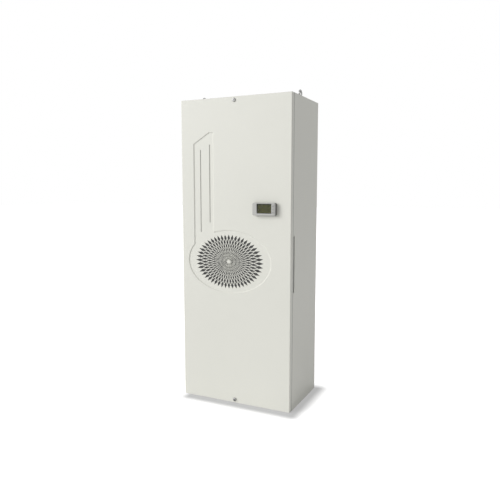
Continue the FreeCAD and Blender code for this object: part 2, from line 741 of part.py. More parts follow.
def recess_oval(name, front, grow):
    """The pressed oval as a slanted-wall plug that begins at a depth called front."""
    return oval_plug(name, front, f"{front} - recess_depth", f"recess_half_width + {grow}",
                     f"recess_half_height + {grow}", "recess_slope")


def filter_mat():
    """The mat that lies on the back of the grille."""
    front = "(unit_depth - recess_depth - gauge)"
    return node(oval_plug("filter_mat", front, f"{front} - filter_gauge", "grille_half_width + filter_edge",
                          "grille_half_height + filter_edge", "0"))


def recess_stem(name, front, grow):
    """The pressed stem above the oval, with its slanted crown."""
    piece = new_body(name)
    outlines = []
    for step, shrink in (("0", "0"), ("recess_depth", "recess_slope")):
        left = f"{shrink} - {grow} - stem_left"
        right = f"{grow} - {shrink} - stem_right"
        crown = f"stem_crown - {shrink} + {grow}"
        outlines.append(polygon(drawing(piece, "XZ_Plane", f"{front} - {step}"), [
            (left, "grille_height"),
            (right, "grille_height"),
            (right, crown),
            (f"{right} - crown_width", crown),
            (left, f"stem_shoulder - {shrink} + {grow}"),
        ]))
    plug = piece.newObject("PartDesign::AdditiveLoft", "plug")
    plug.Profile = outlines[0]
    plug.Sections = [outlines[1]]
    plug.Ruled = True
    return piece


def cover_tray():
    """The cover before it is pressed and punched: a tray with rounded upright edges."""
    piece = new_body("cover_blank")
    rear = "(cover_flange - unit_depth)"
    outline = rectangle(drawing(piece, "XY_Plane"), f"-{HALF}", HALF, "-unit_depth", rear)
    pad(piece, outline, "case_height")
    front = -size("unit_depth")
    round_edges(piece, "cover_corner", lambda edge, middle: upright(edge) and near(middle.y, front))
    rim = size(rear)
    round_edges(piece, "cover_edge", lambda edge, middle: near(edge.BoundBox.ZLength, 0) and middle.y < rim - 1)
    hollow = new_body("cover_hollow")
    inside = rectangle(drawing(hollow, "XY_Plane", "gauge"), f"-{INNER}", INNER, f"-{SHEET_BACK}", rear)
    pad(hollow, inside, "case_height - 2 * gauge")
    back = -size(SHEET_BACK)
    round_edges(hollow, "cover_corner - gauge", lambda edge, middle: upright(edge) and near(middle.y, back))
    return cut_from("cover_tray", piece, hollow)


def grille_holes():
    """Lozenge holes on concentric ovals, shorter towards the middle, every ring half a hole out of step."""
    middle = Vector(size("grille_x"), -size("unit_depth"), size("grille_height"))
    through = Vector(0, size("recess_depth + 2 * gauge"), 0)
    side = middle + Vector(size("grille_half_width"), 0, 0)
    top = middle + Vector(0, 0, size("grille_half_height"))
    rim = Part.Ellipse(side, top, middle).toShape()

    def on_oval(turn, level):
        """The point at a share of the way round; level is 1 on the rim of the grille and 0 in the middle."""
        edge = rim.valueAt(rim.getParameterByLength(turn % 1 * rim.Length))
        return middle + (edge - middle) * level

    rings = int(size("grille_rings"))
    spokes = int(size("grille_spokes"))
    share = size("hole_share")
    drop = (1 - size("ring_taper")) / (rings - 1)
    heights = [1 - drop * ring for ring in range(rings)]
    overhang = (share - 0.5) * (heights[0] + heights[-1])
    pitch = (1 - size("grille_boss / grille_half_height")) / (sum(heights) + overhang)
    lean = share / spokes / 2
    level = 1 - share * pitch
    holes = []
    for ring, height in enumerate(heights):
        reach = share * pitch * height
        for spoke in range(spokes):
            turn = (spoke + 0.5 * (ring % 2)) / spokes
            corners = [
                on_oval(turn, level + reach),
                on_oval(turn + lean, level),
                on_oval(turn, level - reach),
                on_oval(turn - lean, level),
            ]
            outline = Part.makePolygon(corners + corners[:1])
            holes.append(Part.Face(outline).extrude(through))
        level -= pitch * (height - drop / 2)
    punched = doc.addObject("Part::Feature", "grille_holes")
    punched.Shape = Part.makeCompound(holes)
    return punched


CREASES = ("left_crease", "right_crease")


def crease_box(name, middle, half_width, rear, front):
    return box(name, f"-{middle} - {half_width}", f"{half_width} - {middle}", f"{middle}_foot",
               f"{middle}_top", rear, front)


def front_cover():
    """Tray, then the pressed field behind and in front, then the punched openings."""
    floor = "(unit_depth - recess_depth)"
    behind = [recess_oval("oval_back", SHEET_BACK, "gauge"), recess_stem("stem_back", SHEET_BACK, "gauge")]
    ribs = [
        crease_box("crease_back", middle, "(crease_width / 2 + gauge)",
                   f"{floor} - gauge - crease_depth", f"{floor} - gauge / 2")
        for middle in CREASES
    ]
    pressed = joined("cover_pressed", [cover_tray()] + behind + ribs)
    ahead = [recess_oval("oval_front", "unit_depth", "0"), recess_stem("stem_front", "unit_depth", "0")]
    field = joined("pressed_field", ahead)
    formed = cut_from("cover_formed", pressed, field)
    creases = [
        crease_box("crease_front", middle, "crease_width / 2", f"{floor} - crease_depth", "unit_depth")
        for middle in CREASES
    ]
    window = box("controller_window", "panel_x - case_wide / 2 - fit_gap", "panel_x + case_wide / 2 + fit_gap",
                 "panel_height - case_tall / 2 - fit_gap", "panel_height + case_tall / 2 + fit_gap",
                 SHEET_BACK, "unit_depth")
    screw_holes = new_body("screw_holes")
    places = drawing(screw_holes, "XZ_Plane", SHEET_BACK)
    for height in COVER_SCREWS:
        circle(places, "0", height, "screw_radius + fit_gap")
    pad(screw_holes, places, "gauge")
    punched = cut_from("cover_punched", formed, joined("cover_cuts", creases + [window, screw_holes]))
    return node(cut_from("front_cover", punched, grille_holes()))


def cover_screw(height):
    """A captive screw with a domed head in front of the cover."""
    piece = new_body("cover_screw")
    tip = f"{CASE_DEPTH} - gauge - nut_height"
    turn_round(piece, [
        ("0", tip),
        ("screw_radius", tip),
        ("screw_radius", "unit_depth"),
        ("screw_head_radius", "unit_depth"),
        ("screw_head_radius", "unit_depth + screw_head_height / 3"),
        ("screw_head_flat", "unit_depth + screw_head_height"),
        ("0", "unit_depth + screw_head_height"),
    ])
    return place(piece, "0", "0", height, FACING_FRONT)


def cover_spacer(height):
    """A sleeve that holds the cover's face off the casing at a screw."""
    piece = new_body("cover_spacer")
    turn_round(piece, [
        ("screw_radius + fit_gap", CASE_DEPTH),
        ("spacer_radius", CASE_DEPTH),
        ("spacer_radius", SHEET_BACK),
        ("screw_radius + fit_gap", SHEET_BACK),
    ])
    return place(piece, "0", "0", height, FACING_FRONT)


# Controller

def centred(sketch, x, z, width, tall):
    """A rectangle by its middle and its size."""
    return rectangle(sketch, f"{x} - {width} / 2", f"{x} + {width} / 2",
                     f"{z} - {tall} / 2", f"{z} + {tall} / 2")


KEYS = (("key_up", "key_pitch"), ("key_set", "0"), ("key_down", "-key_pitch"))


def controller_bezel():
    """The moulded front frame, hollow from behind, with a rebate for the window and three key holes."""
    piece = new_body("controller_bezel")
    face = centred(drawing(piece, "XZ_Plane", BEZEL_BACK), "panel_x", "panel_height",
                   "bezel_width", "bezel_tall")
    pad(piece, face, "bezel_proud")
    round_edges(piece, "bezel_round", lambda edge, middle: fore_and_aft(edge))
    front = -size(BEZEL_FACE)
    round_edges(piece, "bezel_edge", lambda edge, middle: near(middle.y, front))
    inside = centred(drawing(piece, "XZ_Plane", BEZEL_BACK), "panel_x", "panel_height",
                     "(bezel_width - 2 * bezel_wall)", "(bezel_tall - 2 * bezel_wall)")
    pocket(piece, inside, "bezel_proud - bezel_wall", ahead=True)
    rebate = centred(drawing(piece, "XZ_Plane", BEZEL_FACE), LENS_X, LENS_Z, "lens_width", "lens_tall")
    pocket(piece, rebate, "lens_gauge")
    opening = drawing(piece, "XZ_Plane", BEZEL_FACE)
    centred(opening, LENS_X, LENS_Z, "(lens_width - 2 * lens_rebate)", "(lens_tall - 2 * lens_rebate)")
    hole = "(key_size + 2 * fit_gap)"
    for _, rise in KEYS:
        centred(opening, KEY_X, f"(panel_height + {rise})", hole, hole)
    pocket(piece, opening, "bezel_wall")
    return node(piece)


def controller_lens():
    piece = new_body("controller_lens")
    face = centred(drawing(piece, "XZ_Plane", BEZEL_FACE), LENS_X, LENS_Z, "lens_width", "lens_tall")
    pad(piece, face, "lens_gauge", back=True)
    return node(piece)


def controller_case():
    """The box behind the cover, with a flange that seats in the bezel."""
    piece = new_body("controller_case")
    rear = "(unit_depth - case_reach)"
    body = centred(drawing(piece, "XZ_Plane", rear), "panel_x", "panel_height", "case_wide", "case_tall")
    pad(piece, body, f"{BEZEL_BACK} - {rear}")
    flange = centred(drawing(piece, "XZ_Plane", BEZEL_BACK), "panel_x", "panel_height",
                     "(bezel_width - 2 * bezel_wall)", "(bezel_tall - 2 * bezel_wall)")
    pad(piece, flange, "case_wall")
    hollow = centred(drawing(piece, "XZ_Plane", BOARD_BACK), "panel_x", "panel_height",
                     "(case_wide - 2 * case_wall)", "(case_tall - 2 * case_wall)")
    pocket(piece, hollow, f"{BOARD_BACK} - {rear} - case_wall")
    return node(piece)


def controller_gasket():
    piece = new_body("controller_gasket")
    frame = drawing(piece, "XZ_Plane", "unit_depth")
    centred(frame, "panel_x", "panel_height", "(bezel_width - 2 * bezel_wall)", "(bezel_tall - 2 * bezel_wall)")
    centred(frame, "panel_x", "panel_height", "(case_wide + 2 * fit_gap)", "(case_tall + 2 * fit_gap)")
    pad(piece, frame, "gasket_gauge")
    return node(piece)


def controller_board():
    """The circuit board with its three key switches."""
    piece = new_body("controller_board")
    card = centred(drawing(piece, "XZ_Plane", BOARD_BACK), "panel_x", "panel_height",
                   "(bezel_width - 2 * bezel_wall - 2 * fit_gap)",
                   "(bezel_tall - 2 * bezel_wall - 2 * fit_gap)")
    pad(piece, card, "board_gauge")
    switches = drawing(piece, "XZ_Plane", BOARD_FACE)
    for _, rise in KEYS:
        centred(switches, KEY_X, f"(panel_height + {rise})", "(key_size - key_proud)", "(key_size - key_proud)")
    pad(piece, switches, f"{SWITCH_FACE} - {BOARD_FACE}")
    return node(piece)


def controller_display():
    piece = new_body("controller_display")
    module = centred(drawing(piece, "XZ_Plane", BOARD_FACE), LENS_X, LENS_Z,
                     "(lens_width - lens_rebate)", "(lens_tall - lens_rebate)")
    pad(piece, module, "display_gauge")
    return node(piece)


def controller_clip(side):
    """One of the two clips that pull the controller against the cover."""
    piece = new_body("controller_clip")
    inner = f"panel_x + {side} * case_wide / 2"
    outer = f"panel_x + {side} * (case_wide / 2 + clip_width)"
    wedge = polygon(drawing(piece, "XY_Plane", "panel_height - clip_tall / 2"), [
        (inner, f"-{SHEET_BACK}"),
        (outer, f"-{SHEET_BACK}"),
        (outer, f"clip_reach / 3 - {SHEET_BACK}"),
        (inner, f"clip_reach - {SHEET_BACK}"),
    ])
    pad(piece, wedge, "clip_tall")
    return piece


def key(label, rise):
    """A key cap with a flange behind the bezel that keeps it in."""
    piece = new_body(label)
    z = f"(panel_height + {rise})"
    flange = centred(drawing(piece, "XZ_Plane", BEZEL_INNER), KEY_X, z, "(key_size + bezel_wall)",
                     "(key_size + bezel_wall)")
    pad(piece, flange, "key_proud", back=True)
    cap = centred(drawing(piece, "XZ_Plane", BEZEL_INNER), KEY_X, z, "key_size", "key_size")
    pad(piece, cap, "bezel_wall + key_proud")
    front = -size(f"{BEZEL_FACE} + key_proud")
    round_edges(piece, "key_proud / 2", lambda edge, middle: near(middle.y, front))
    return node(piece)


# Condenser side

COLLAR_RADIUS = "(fan_radius + fan_tip_gap)"


def condenser_fan_plate():
    """The wall that carries the fan, with a collar round the blades."""
    piece = new_body("condenser_fan_plate")
    front = f"({PLATE_DEPTH} + gauge)"
    block(piece, f"-{INNER}", INNER, "shelf_height", "chamber_floor", PLATE_DEPTH, front)
    block(piece, f"-{INNER}", INNER, "chamber_floor - gauge", "chamber_floor", "chamber_depth - lip_depth",
          PLATE_DEPTH)
    collar = drawing(piece, "XZ_Plane", PLATE_DEPTH)
    circle(collar, "grille_x", "grille_height", f"{COLLAR_RADIUS} + gauge")
    pad(piece, collar, "collar_length", back=True)
    bore = circle(drawing(piece, "XZ_Plane", front), "grille_x", "grille_height", COLLAR_RADIUS)
    pocket(piece, bore, "collar_length + gauge")
    return node(piece)


def motor_bracket(label, x, height, back, front, reach, sign):
    """A disc behind the motor with four bent struts; back is the disc's far face, front the struts' feet."""
    piece = new_body(label)
    disc = circle(drawing(piece, "XY_Plane", back), "0", "0", "motor_radius + strut_gauge")
    pad(piece, disc, "strut_gauge", back=sign < 0)
    strut = polygon(drawing(piece, "XZ_Plane", "-strut_width / 2"), [
        ("motor_radius", back),
        (f"{reach} + strut_gauge", back),
        (f"{reach} + strut_gauge", front),
        (reach, front),
        (reach, f"{back} + {sign} * strut_gauge"),
        ("motor_radius", f"{back} + {sign} * strut_gauge"),
    ])
    ring_pattern(piece, pad(piece, strut, "strut_width"), "4")
    turn = FACING_FRONT.multiply(Rotation(Vector(0, 0, 1), 45))
    return node(place(piece, x, "0", height, turn))


def fan_motor(label, x, height, back, tip, sign):
    """The round motor with its shaft; back is the face on the bracket and tip the shaft's end."""
    piece = new_body(label)
    face = f"{back} + {sign} * motor_length"
    turn_round(piece, [
        ("0", back),
        ("motor_radius", back),
        ("motor_radius", f"{face} - {sign} * strut_gauge"),
        ("motor_radius - strut_gauge", face),
        ("shaft_radius", face),
        ("shaft_radius", tip),
        ("0", tip),
    ])
    return node(place(piece, x, "0", height, FACING_FRONT))


def blade_section(piece, station, pitch):
    """A slanted strip across the blade, square to the radius."""
    sketch = drawing(piece, "YZ_Plane", station)
    middle = f"({FAN_REAR} + hub_length / 2)"
    corners = []
    for chord, skin in ((-1, -1), (1, -1), (1, 1), (-1, 1)):
        run = f"{chord} * blade_chord / 2"
        off = f"{skin} * blade_gauge / 2"
        corners.append((f"{run} * cos({pitch}) - {off} * sin({pitch})",
                        f"{middle} + {run} * sin({pitch}) + {off} * cos({pitch})"))
    return polygon(sketch, corners)


def condenser_fan():
    """An axial fan: a cup-shaped hub and twisted blades trimmed to a cylinder."""
    piece = new_body("condenser_fan")
    bore = "shaft_radius + shaft_play"
    turn_round(piece, [
        (bore, FAN_REAR),
        ("fan_hub", FAN_REAR),
        ("fan_hub", f"{FAN_FRONT} - gauge * 2"),
        ("fan_hub - gauge * 2", FAN_FRONT),
        ("0", FAN_FRONT),
        ("0", f"{FAN_FRONT} - gauge * 2"),
        (bore, f"{FAN_FRONT} - gauge * 2"),
    ])
    root = blade_section(piece, "blade_root", "root_pitch")
    tip = blade_section(piece, "fan_radius + blade_gauge", "tip_pitch")
    blade = piece.newObject("PartDesign::AdditiveLoft", "blade")
    blade.Profile = root
    blade.Sections = [tip]
    blade.Ruled = True
    ring_pattern(piece, blade, "fan_blades")
    turn_round(piece, [
        ("fan_radius", f"{FAN_REAR} - blade_chord"),
        ("fan_radius + blade_chord", f"{FAN_REAR} - blade_chord"),
        ("fan_radius + blade_chord", f"{FAN_FRONT} + blade_chord"),
        ("fan_radius", f"{FAN_FRONT} + blade_chord"),
    ], "PartDesign::Groove")
    turn_round(piece, [
        ("0", f"{FAN_REAR} - blade_chord"),
        ("fan_hub", f"{FAN_REAR} - blade_chord"),
        ("fan_hub", FAN_REAR),
        (bore, FAN_REAR),
        (bore, f"{FAN_FRONT} - gauge * 2"),
        ("0", f"{FAN_FRONT} - gauge * 2"),
    ], "PartDesign::Groove")
    return node(place(piece, "grille_x", "0", "grille_height", FACING_FRONT))


def condenser_shelf():
    """The sheet under the condenser, from its rear to the fan plate."""
    piece = new_body("condenser_shelf")
    block(piece, f"-{INNER}", INNER, "shelf_height - gauge", "shelf_height", "coil_rear - tube_radius",
          f"{PLATE_DEPTH} + gauge")
    return node(piece)


def fin_block(label, left, right, low, high, rear):
    """A pack of fins with grooves in its front face."""
    piece = new_body(label)
    front = f"({rear} + coil_thick)"
    block(piece, left, right, low, high, rear, front)
    first = f"({left} + fin_pitch / 2)"
    groove = rectangle(drawing(piece, "XZ_Plane", front), first, f"{first} + fin_groove", low, high)
    count = f"floor(({right} - {left}) / fin_pitch)"
    row_pattern(piece, pocket(piece, groove, "fin_cut"), "X_Axis", "fin_pitch", count)
    return node(piece)


def end_plates(label, left, right, low, high, rear, front):
    """The two tube plates at the ends of the fins."""
    members = []
    for outer, inner in ((f"{left} - gauge", left), (right, f"{right} + gauge")):
        piece = new_body("end_plate")
        block(piece, outer, inner, low, high, rear, front)
        members.append(piece)
    return group(label, members)


# Turns a half ring so that it bulges to the right of a coil, or to its left.
BULGE_RIGHT = Rotation(Vector(1, 1, 1), 240)
BULGE_LEFT = Rotation(Vector(0, 0, 1), 180).multiply(BULGE_RIGHT)


def return_bends(label, left, right, first, count, depth):
    """Half rings that join the tubes in pairs, alternately at the left and the right end."""
    members = []
    for index in range(count):
        bend = new_body("return_bend")
        turn_round(bend, many_sided("bend_radius", "0", "tube_radius", PIPE_SIDES), angle=180)
        face, turn = (f"{right} + gauge", BULGE_RIGHT) if index % 2 else (f"{left} - gauge", BULGE_LEFT)
        height = f"{first} + {2 * index + 1} * bend_radius"
        members.append(place(bend, face, depth, height, turn))
    return group(label, members)


# Refrigerant circuit

CONDENSER_ROW = "(coil_rear + coil_thick / 2)"
COOLER_ROW = "(cooler_rear + tube_radius + fin_cut)"
HOT_DEPTH = "(coil_rear - 4 * pipe_bend)"
LIQUID_DEPTH = "(drain_depth + tube_radius)"
CONDENSER_FIRST = "(shelf_height + 2 * pipe_bend)"
CONDENSER_BENDS = 2 * int(size(f"({COIL_TOP} - shelf_height - 4 * pipe_bend) / (4 * bend_radius)"))
COOLER_FIRST = "(cooler_low + pipe_bend)"
COOLER_BENDS = 2 * int(size("(cooler_high - cooler_low - 2 * pipe_bend) / (4 * bend_radius) + 0.5")) - 1
LEFT_RUN = f"({COIL_LEFT} - gauge - pipe_bend - tube_radius / 2)"
RIGHT_RUN = f"({COIL_RIGHT} + gauge + pipe_bend + tube_radius / 2)"
CAPILLARY_X = f"({COOLER_HALF} + gauge + bend_radius + 2 * tube_radius)"
SUCTION_X = f"({COOLER_HALF} + gauge + bend_radius + 5 * tube_radius)"
CROSS_HEIGHT = "(shelf_height - 4 * pipe_bend)"
DRYER_TOP = "(shelf_height - 5 * pipe_bend)"
CAN_TOP = "(can_foot + can_tall)"


def pipe(label, route, radius):
    """A bent pipe through points given as X, depth and height, with an arc at each corner."""
    points = [Vector(size(x), -size(depth), size(height)) for x, depth, height in route]
    bend = size("pipe_bend")
    edges = []
    start = points[0]
    for before, corner, after in zip(points, points[1:], points[2:]):
        into = (corner - before).normalize()
        out = (after - corner).normalize()
        first, last = corner - into * bend, corner + out * bend
        centre = first + out * bend
        middle = centre - (into * -1 + out).normalize() * bend
        edges.append(Part.makeLine(start, first))
        edges.append(Part.Arc(first, middle, last).toShape())
        start = last
    edges.append(Part.makeLine(start, points[-1]))
    path = Part.Wire(edges)
    along = (points[1] - points[0]).normalize()
    turn = Rotation(Vector(0, 0, 1), along)
    angles = [2 * math.pi * (index + 0.5) / PIPE_SIDES for index in range(PIPE_SIDES)]
    rim = [Vector(math.cos(angle), math.sin(angle), 0) * size(radius) for angle in angles]
    corners = [points[0] + turn.multVec(corner) for corner in rim]
    section = Part.makePolygon(corners + corners[:1])
    piece = doc.addObject("Part::Feature", label)
    piece.Label = label
    piece.Shape = path.makePipeShell([section], True, False)
    return node(piece)


def compressor():
    """A welded upright shell on a three-lobed foot plate, with a discharge stub on top."""
    piece = new_body("compressor")
    ends = dome("shell_radius", "shell_dome", FOOT_LOW, -1) + dome("shell_radius", "shell_dome", SHELL_TOP, 1)
    turn_round(piece, [("0", FOOT_LOW)] + ends + [("0", SHELL_TOP)])
    weld = f"({FOOT_LOW} + weld_height)"
    turn_round(piece, [
        ("shell_radius - gauge", weld),
        ("shell_radius + gauge", f"{weld} + 2 * gauge"),
        ("shell_radius - gauge", f"{weld} + 4 * gauge"),
    ])
    corner = "(foot_radius + 2 * foot_round)"
    plate = polygon(drawing(piece, "XY_Plane", FOOT_LOW), [
        (f"{corner} * cos({angle})", f"-{corner} * sin({angle})") for angle in (30, 150, 270)
    ])
    pad(piece, plate, "foot_gauge")
    shell = size("shell_radius + gauge")

    def plate_corner(edge, middle):
        return upright(edge) and math.hypot(middle.x, middle.y) > shell

    round_edges(piece, "foot_round", plate_corner)
    holes = drawing(piece, "XY_Plane", FOOT_TOP)
    for angle in (30, 150, 270):
        circle(holes, f"foot_radius * cos({angle})", f"-foot_radius * sin({angle})", "mount_neck + fit_gap")
    pocket(piece, holes, "foot_gauge")
    stub = circle(drawing(piece, "XY_Plane", f"{SHELL_TOP} - shell_dome"), "0", f"shell_depth - {HOT_DEPTH}",
                  "tube_radius + gauge")
    pad(piece, stub, "shell_dome + gauge")
    return node(place(piece, SHELL_X, "shell_depth", "0"))


def compressor_mount(x, depth):
    """A rubber mount with a shoulder that the foot plate sits on."""
    piece = new_body("compressor_mount")
    bore = "bolt_radius + fit_gap"
    turn_round(piece, [
        (bore, PAN_TOP),
        ("mount_radius", PAN_TOP),
        ("mount_radius", FOOT_LOW),
        ("mount_neck", FOOT_LOW),
        ("mount_neck", f"{FOOT_TOP} + mount_cap"),
        (bore, f"{FOOT_TOP} + mount_cap"),
    ])
    return place(piece, x, depth)


def compressor_bolt(x, depth):
    piece = new_body("compressor_bolt")
    seat = f"({FOOT_TOP} + mount_cap)"
    shank = circle(drawing(piece, "XY_Plane", "pan_lift - gauge"), "0", "0", "bolt_radius")
    pad(piece, shank, f"{seat} - pan_lift + gauge")
    pad(piece, polygon(drawing(piece, "XY_Plane", seat), many_sided("0", "0", "bolt_head", 6)), "mount_cap")
    return place(piece, x, depth)


def accumulator():
    """The suction can beside the compressor, with the strap that holds it to the shell."""
    piece = new_body("accumulator")
    ends = dome("can_radius", "can_dome", "can_foot", -1) + dome("can_radius", "can_dome", CAN_TOP, 1)
    turn_round(piece, [("0", "can_foot")] + ends + [("0", CAN_TOP)])
    strap = rectangle(drawing(piece, "XZ_Plane", "-strut_width"), "-can_radius - can_gap - gauge", "0",
                      "can_foot + can_tall / 2", "can_foot + can_tall / 2 + strut_width")
    pad(piece, strap, "2 * strut_width")
    near_shell = circle(drawing(piece, "XY_Plane", "can_foot"), f"{SHELL_X} - {CAN_X}", "0", "shell_radius")
    pocket(piece, near_shell, "can_tall", ahead=True)
    return node(place(piece, CAN_X, "shell_depth", "0"))


def dryer():
    piece = new_body("filter_dryer")
    low = f"({DRYER_TOP} - dryer_length)"
    turn_round(piece, [
        ("0", low),
        ("tube_radius + gauge", low),
        ("dryer_radius", f"{low} + dryer_radius"),
        ("dryer_radius", f"{DRYER_TOP} - dryer_radius"),
        ("tube_radius + gauge", DRYER_TOP),
        ("0", DRYER_TOP),
    ])
    return node(place(piece, RIGHT_RUN, LIQUID_DEPTH, "0"))


def pipes():
    """The four pipes of the circuit, from the compressor round to the accumulator."""
    last = f"{CONDENSER_FIRST} + {2 * CONDENSER_BENDS} * bend_radius"
    pipe("discharge_pipe", [
        (SHELL_X, HOT_DEPTH, f"{SHELL_TOP} + gauge"),
        (SHELL_X, HOT_DEPTH, CROSS_HEIGHT),
        (LEFT_RUN, HOT_DEPTH, CROSS_HEIGHT),
        (LEFT_RUN, HOT_DEPTH, last),
        (LEFT_RUN, CONDENSER_ROW, last),
        (f"{COIL_LEFT} - gauge", CONDENSER_ROW, last),
    ], "tube_radius")
    pipe("liquid_pipe", [
        (f"{COIL_RIGHT} + gauge", CONDENSER_ROW, CONDENSER_FIRST),
        (RIGHT_RUN, CONDENSER_ROW, CONDENSER_FIRST),
        (RIGHT_RUN, LIQUID_DEPTH, CONDENSER_FIRST),
        (RIGHT_RUN, LIQUID_DEPTH, DRYER_TOP),
    ], "tube_radius")
    low = f"({DRYER_TOP} - dryer_length)"
    pipe("capillary_tube", [
        (RIGHT_RUN, LIQUID_DEPTH, low),
        (RIGHT_RUN, LIQUID_DEPTH, f"{low} - 3 * pipe_bend"),
        (CAPILLARY_X, LIQUID_DEPTH, f"{low} - 3 * pipe_bend"),
        (CAPILLARY_X, LIQUID_DEPTH, COOLER_FIRST),
        (CAPILLARY_X, COOLER_ROW, COOLER_FIRST),
        (f"{COOLER_HALF} + gauge", COOLER_ROW, COOLER_FIRST),
    ], "capillary_radius")
    top = f"{COOLER_FIRST} + {2 * COOLER_BENDS} * bend_radius"
    pipe("suction_pipe", [
        (f"{COOLER_HALF} + gauge", COOLER_ROW, top),
        (SUCTION_X, COOLER_ROW, top),
        (SUCTION_X, COOLER_ROW, CROSS_HEIGHT),
        (CAN_X, COOLER_ROW, CROSS_HEIGHT),
        (CAN_X, "shell_depth", CROSS_HEIGHT),
        (CAN_X, "shell_depth", CAN_TOP),
    ], "tube_radius")
    pipe("accumulator_pipe", [
        (CAN_X, "shell_depth", "can_foot"),
        (CAN_X, "shell_depth", f"{FOOT_TOP} + shell_dome"),
        (f"{SHELL_X} + shell_radius", "shell_depth", f"{FOOT_TOP} + shell_dome"),
    ], "tube_radius")


# Evaporator side

BLOWER_BACK = "(blower_front + blower_width)"
BLOWER_MOTOR_BACK = "(blower_front + blower_width + blower_disc + motor_gap + motor_length)"


def evaporator_fan():
    """A radial fan: a disc with a hub, slanted blades and a ring round the intake."""
    piece = new_body("evaporator_fan")
    bore = "shaft_radius + shaft_play"
    back = f"({BLOWER_BACK} + blower_disc)"
    turn_round(piece, [
        (bore, back),
        ("blower_radius", back),
        ("blower_radius", BLOWER_BACK),
        ("blower_hub", BLOWER_BACK),
        ("blower_hub", f"{BLOWER_BACK} - blower_hub"),
        ("0", f"{BLOWER_BACK} - blower_hub"),
        ("0", f"{BLOWER_BACK} - blower_hub + blower_disc"),
        (bore, f"{BLOWER_BACK} - blower_hub + blower_disc"),
    ])
    reach = "(blower_radius - blower_eye)"
    slip = f"{reach} * tan(blower_lean)"
    blade = polygon(drawing(piece, "XY_Plane", "blower_front - blower_disc / 2"), [
        ("blower_eye", "-blade_gauge / 2"),
        ("blower_radius - blower_disc * 3", f"{slip} - blade_gauge / 2"),
        ("blower_radius - blower_disc * 3", f"{slip} + blade_gauge / 2"),
        ("blower_eye", "blade_gauge / 2"),
    ])
    ring_pattern(piece, pad(piece, blade, "blower_width + blower_disc"), "blower_blades")
    ring = drawing(piece, "XY_Plane", "blower_front")
    circle(ring, "0", "0", "blower_radius")
    circle(ring, "0", "0", "blower_eye")
    pad(piece, ring, "blower_disc", back=True)
    return node(place(piece, "0", "0", BLOWER_HEIGHT, FACING_FRONT))


def intake_ring():
    """The collar behind the rear panel that leads the air into the radial fan."""
    piece = new_body("intake_ring")
    turn_round(piece, [
        ("intake_radius", "gauge"),
        ("intake_flange", "gauge"),
        ("intake_flange", "2 * gauge"),
        ("intake_radius + 2 * gauge", "2 * gauge"),
        ("intake_radius + gauge", "4 * gauge"),
        ("intake_radius + gauge", "blower_front"),
        ("intake_radius", "blower_front"),
    ])
    return node(place(piece, "0", "0", BLOWER_HEIGHT, FACING_FRONT))


def intake_guard():
    """Flat rings on a cross, set flush in the rear panel."""
    piece = new_body("intake_guard")
    rings = drawing(piece, "XY_Plane")
    outer = "(intake_radius + guard_wire - fit_gap)"
    for radius in (outer, "guard_middle"):
        circle(rings, "0", "0", radius)
        circle(rings, "0", "0", f"{radius} - guard_ring")
    pad(piece, rings, "gauge")
    bar = rectangle(drawing(piece, "XY_Plane"), "guard_middle - guard_ring / 2", f"{outer} - guard_ring / 2",
                    "-guard_wire / 2", "guard_wire / 2")
    ring_pattern(piece, pad(piece, bar, "gauge"), "6")
    return node(place(piece, "0", "0", BLOWER_HEIGHT, FACING_FRONT))


def outlet_grille():
    """A frame with slanted slats in the cold air outlet."""
    piece = new_body("outlet_grille")
    margin = "slat_gauge * 2"
    frame = drawing(piece, "XZ_Plane", "gauge")
    rectangle(frame, f"-outlet_half_width - {margin}", f"outlet_half_width + {margin}",
              f"outlet_low - {margin}", f"outlet_high + {margin}")
    rectangle(frame, f"{margin} - outlet_half_width", f"outlet_half_width - {margin}",
              f"outlet_low + {margin}", f"outlet_high - {margin}")
    pad(piece, frame, "slat_reach")
    first = f"(outlet_low + {margin})"
    slat = polygon(drawing(piece, "YZ_Plane", f"{margin} / 2 - outlet_half_width"), [
        ("-gauge", f"{first} + slat_reach / 2"),
        ("-gauge", f"{first} + slat_reach / 2 + slat_gauge"),
        ("-gauge - slat_reach", f"{first} + slat_reach + slat_gauge"),
        ("-gauge - slat_reach", f"{first} + slat_reach"),
    ])
    count = f"floor((outlet_high - outlet_low - 2 * {margin}) / slat_pitch)"
    row_pattern(piece, pad(piece, slat, f"2 * outlet_half_width - {margin}"), "Z_Axis", "slat_pitch", count)
    return node(piece)


def evaporator_baffle():
    """The sheet over the evaporator that sends the air down its front."""
    piece = new_body("evaporator_baffle")
    block(piece, f"-{INNER}", INNER, "cooler_high", "cooler_high + gauge", SEAL_BACK, COOLER_FRONT)
    return node(piece)


def tray_floor():
    piece = new_body("tray_floor")
    block(piece, f"-{TRAY_HALF}", TRAY_HALF, FLOOR_TOP, TRAY_BED, "tray_rear", TRAY_FRONT)
    hole = circle(drawing(piece, "XY_Plane", TRAY_BED), DRAIN_X, "-drain_depth", "drain_bore")
    pocket(piece, hole, "gauge")
    return piece


def condensate_tray():
    """A welded plastic tray: two long walls, two short ones between them, and a floor with a small edge."""
    brim = f"({FLOOR_TOP} + tray_tall)"
    end = f"({TRAY_HALF} - tray_edge)"
    short = f"({TRAY_HALF} - 2 * tray_edge)"
    rear = "(tray_rear + tray_edge)"
    front = f"({TRAY_FRONT} - tray_edge)"
    walls = [
        box("tray_wall", f"-{end}", end, TRAY_BED, brim, rear, f"{rear} + gauge"),
        box("tray_wall", f"-{end}", end, TRAY_BED, brim, f"{front} - gauge", front),
    ]
    for side in (1, -1):
        walls.append(box("tray_wall", f"{side} * {short}", f"{side} * ({short} - gauge)", TRAY_BED, brim,
                            f"{rear} + gauge", f"{front} - gauge"))
    return group("condensate_tray", [tray_floor()] + walls)


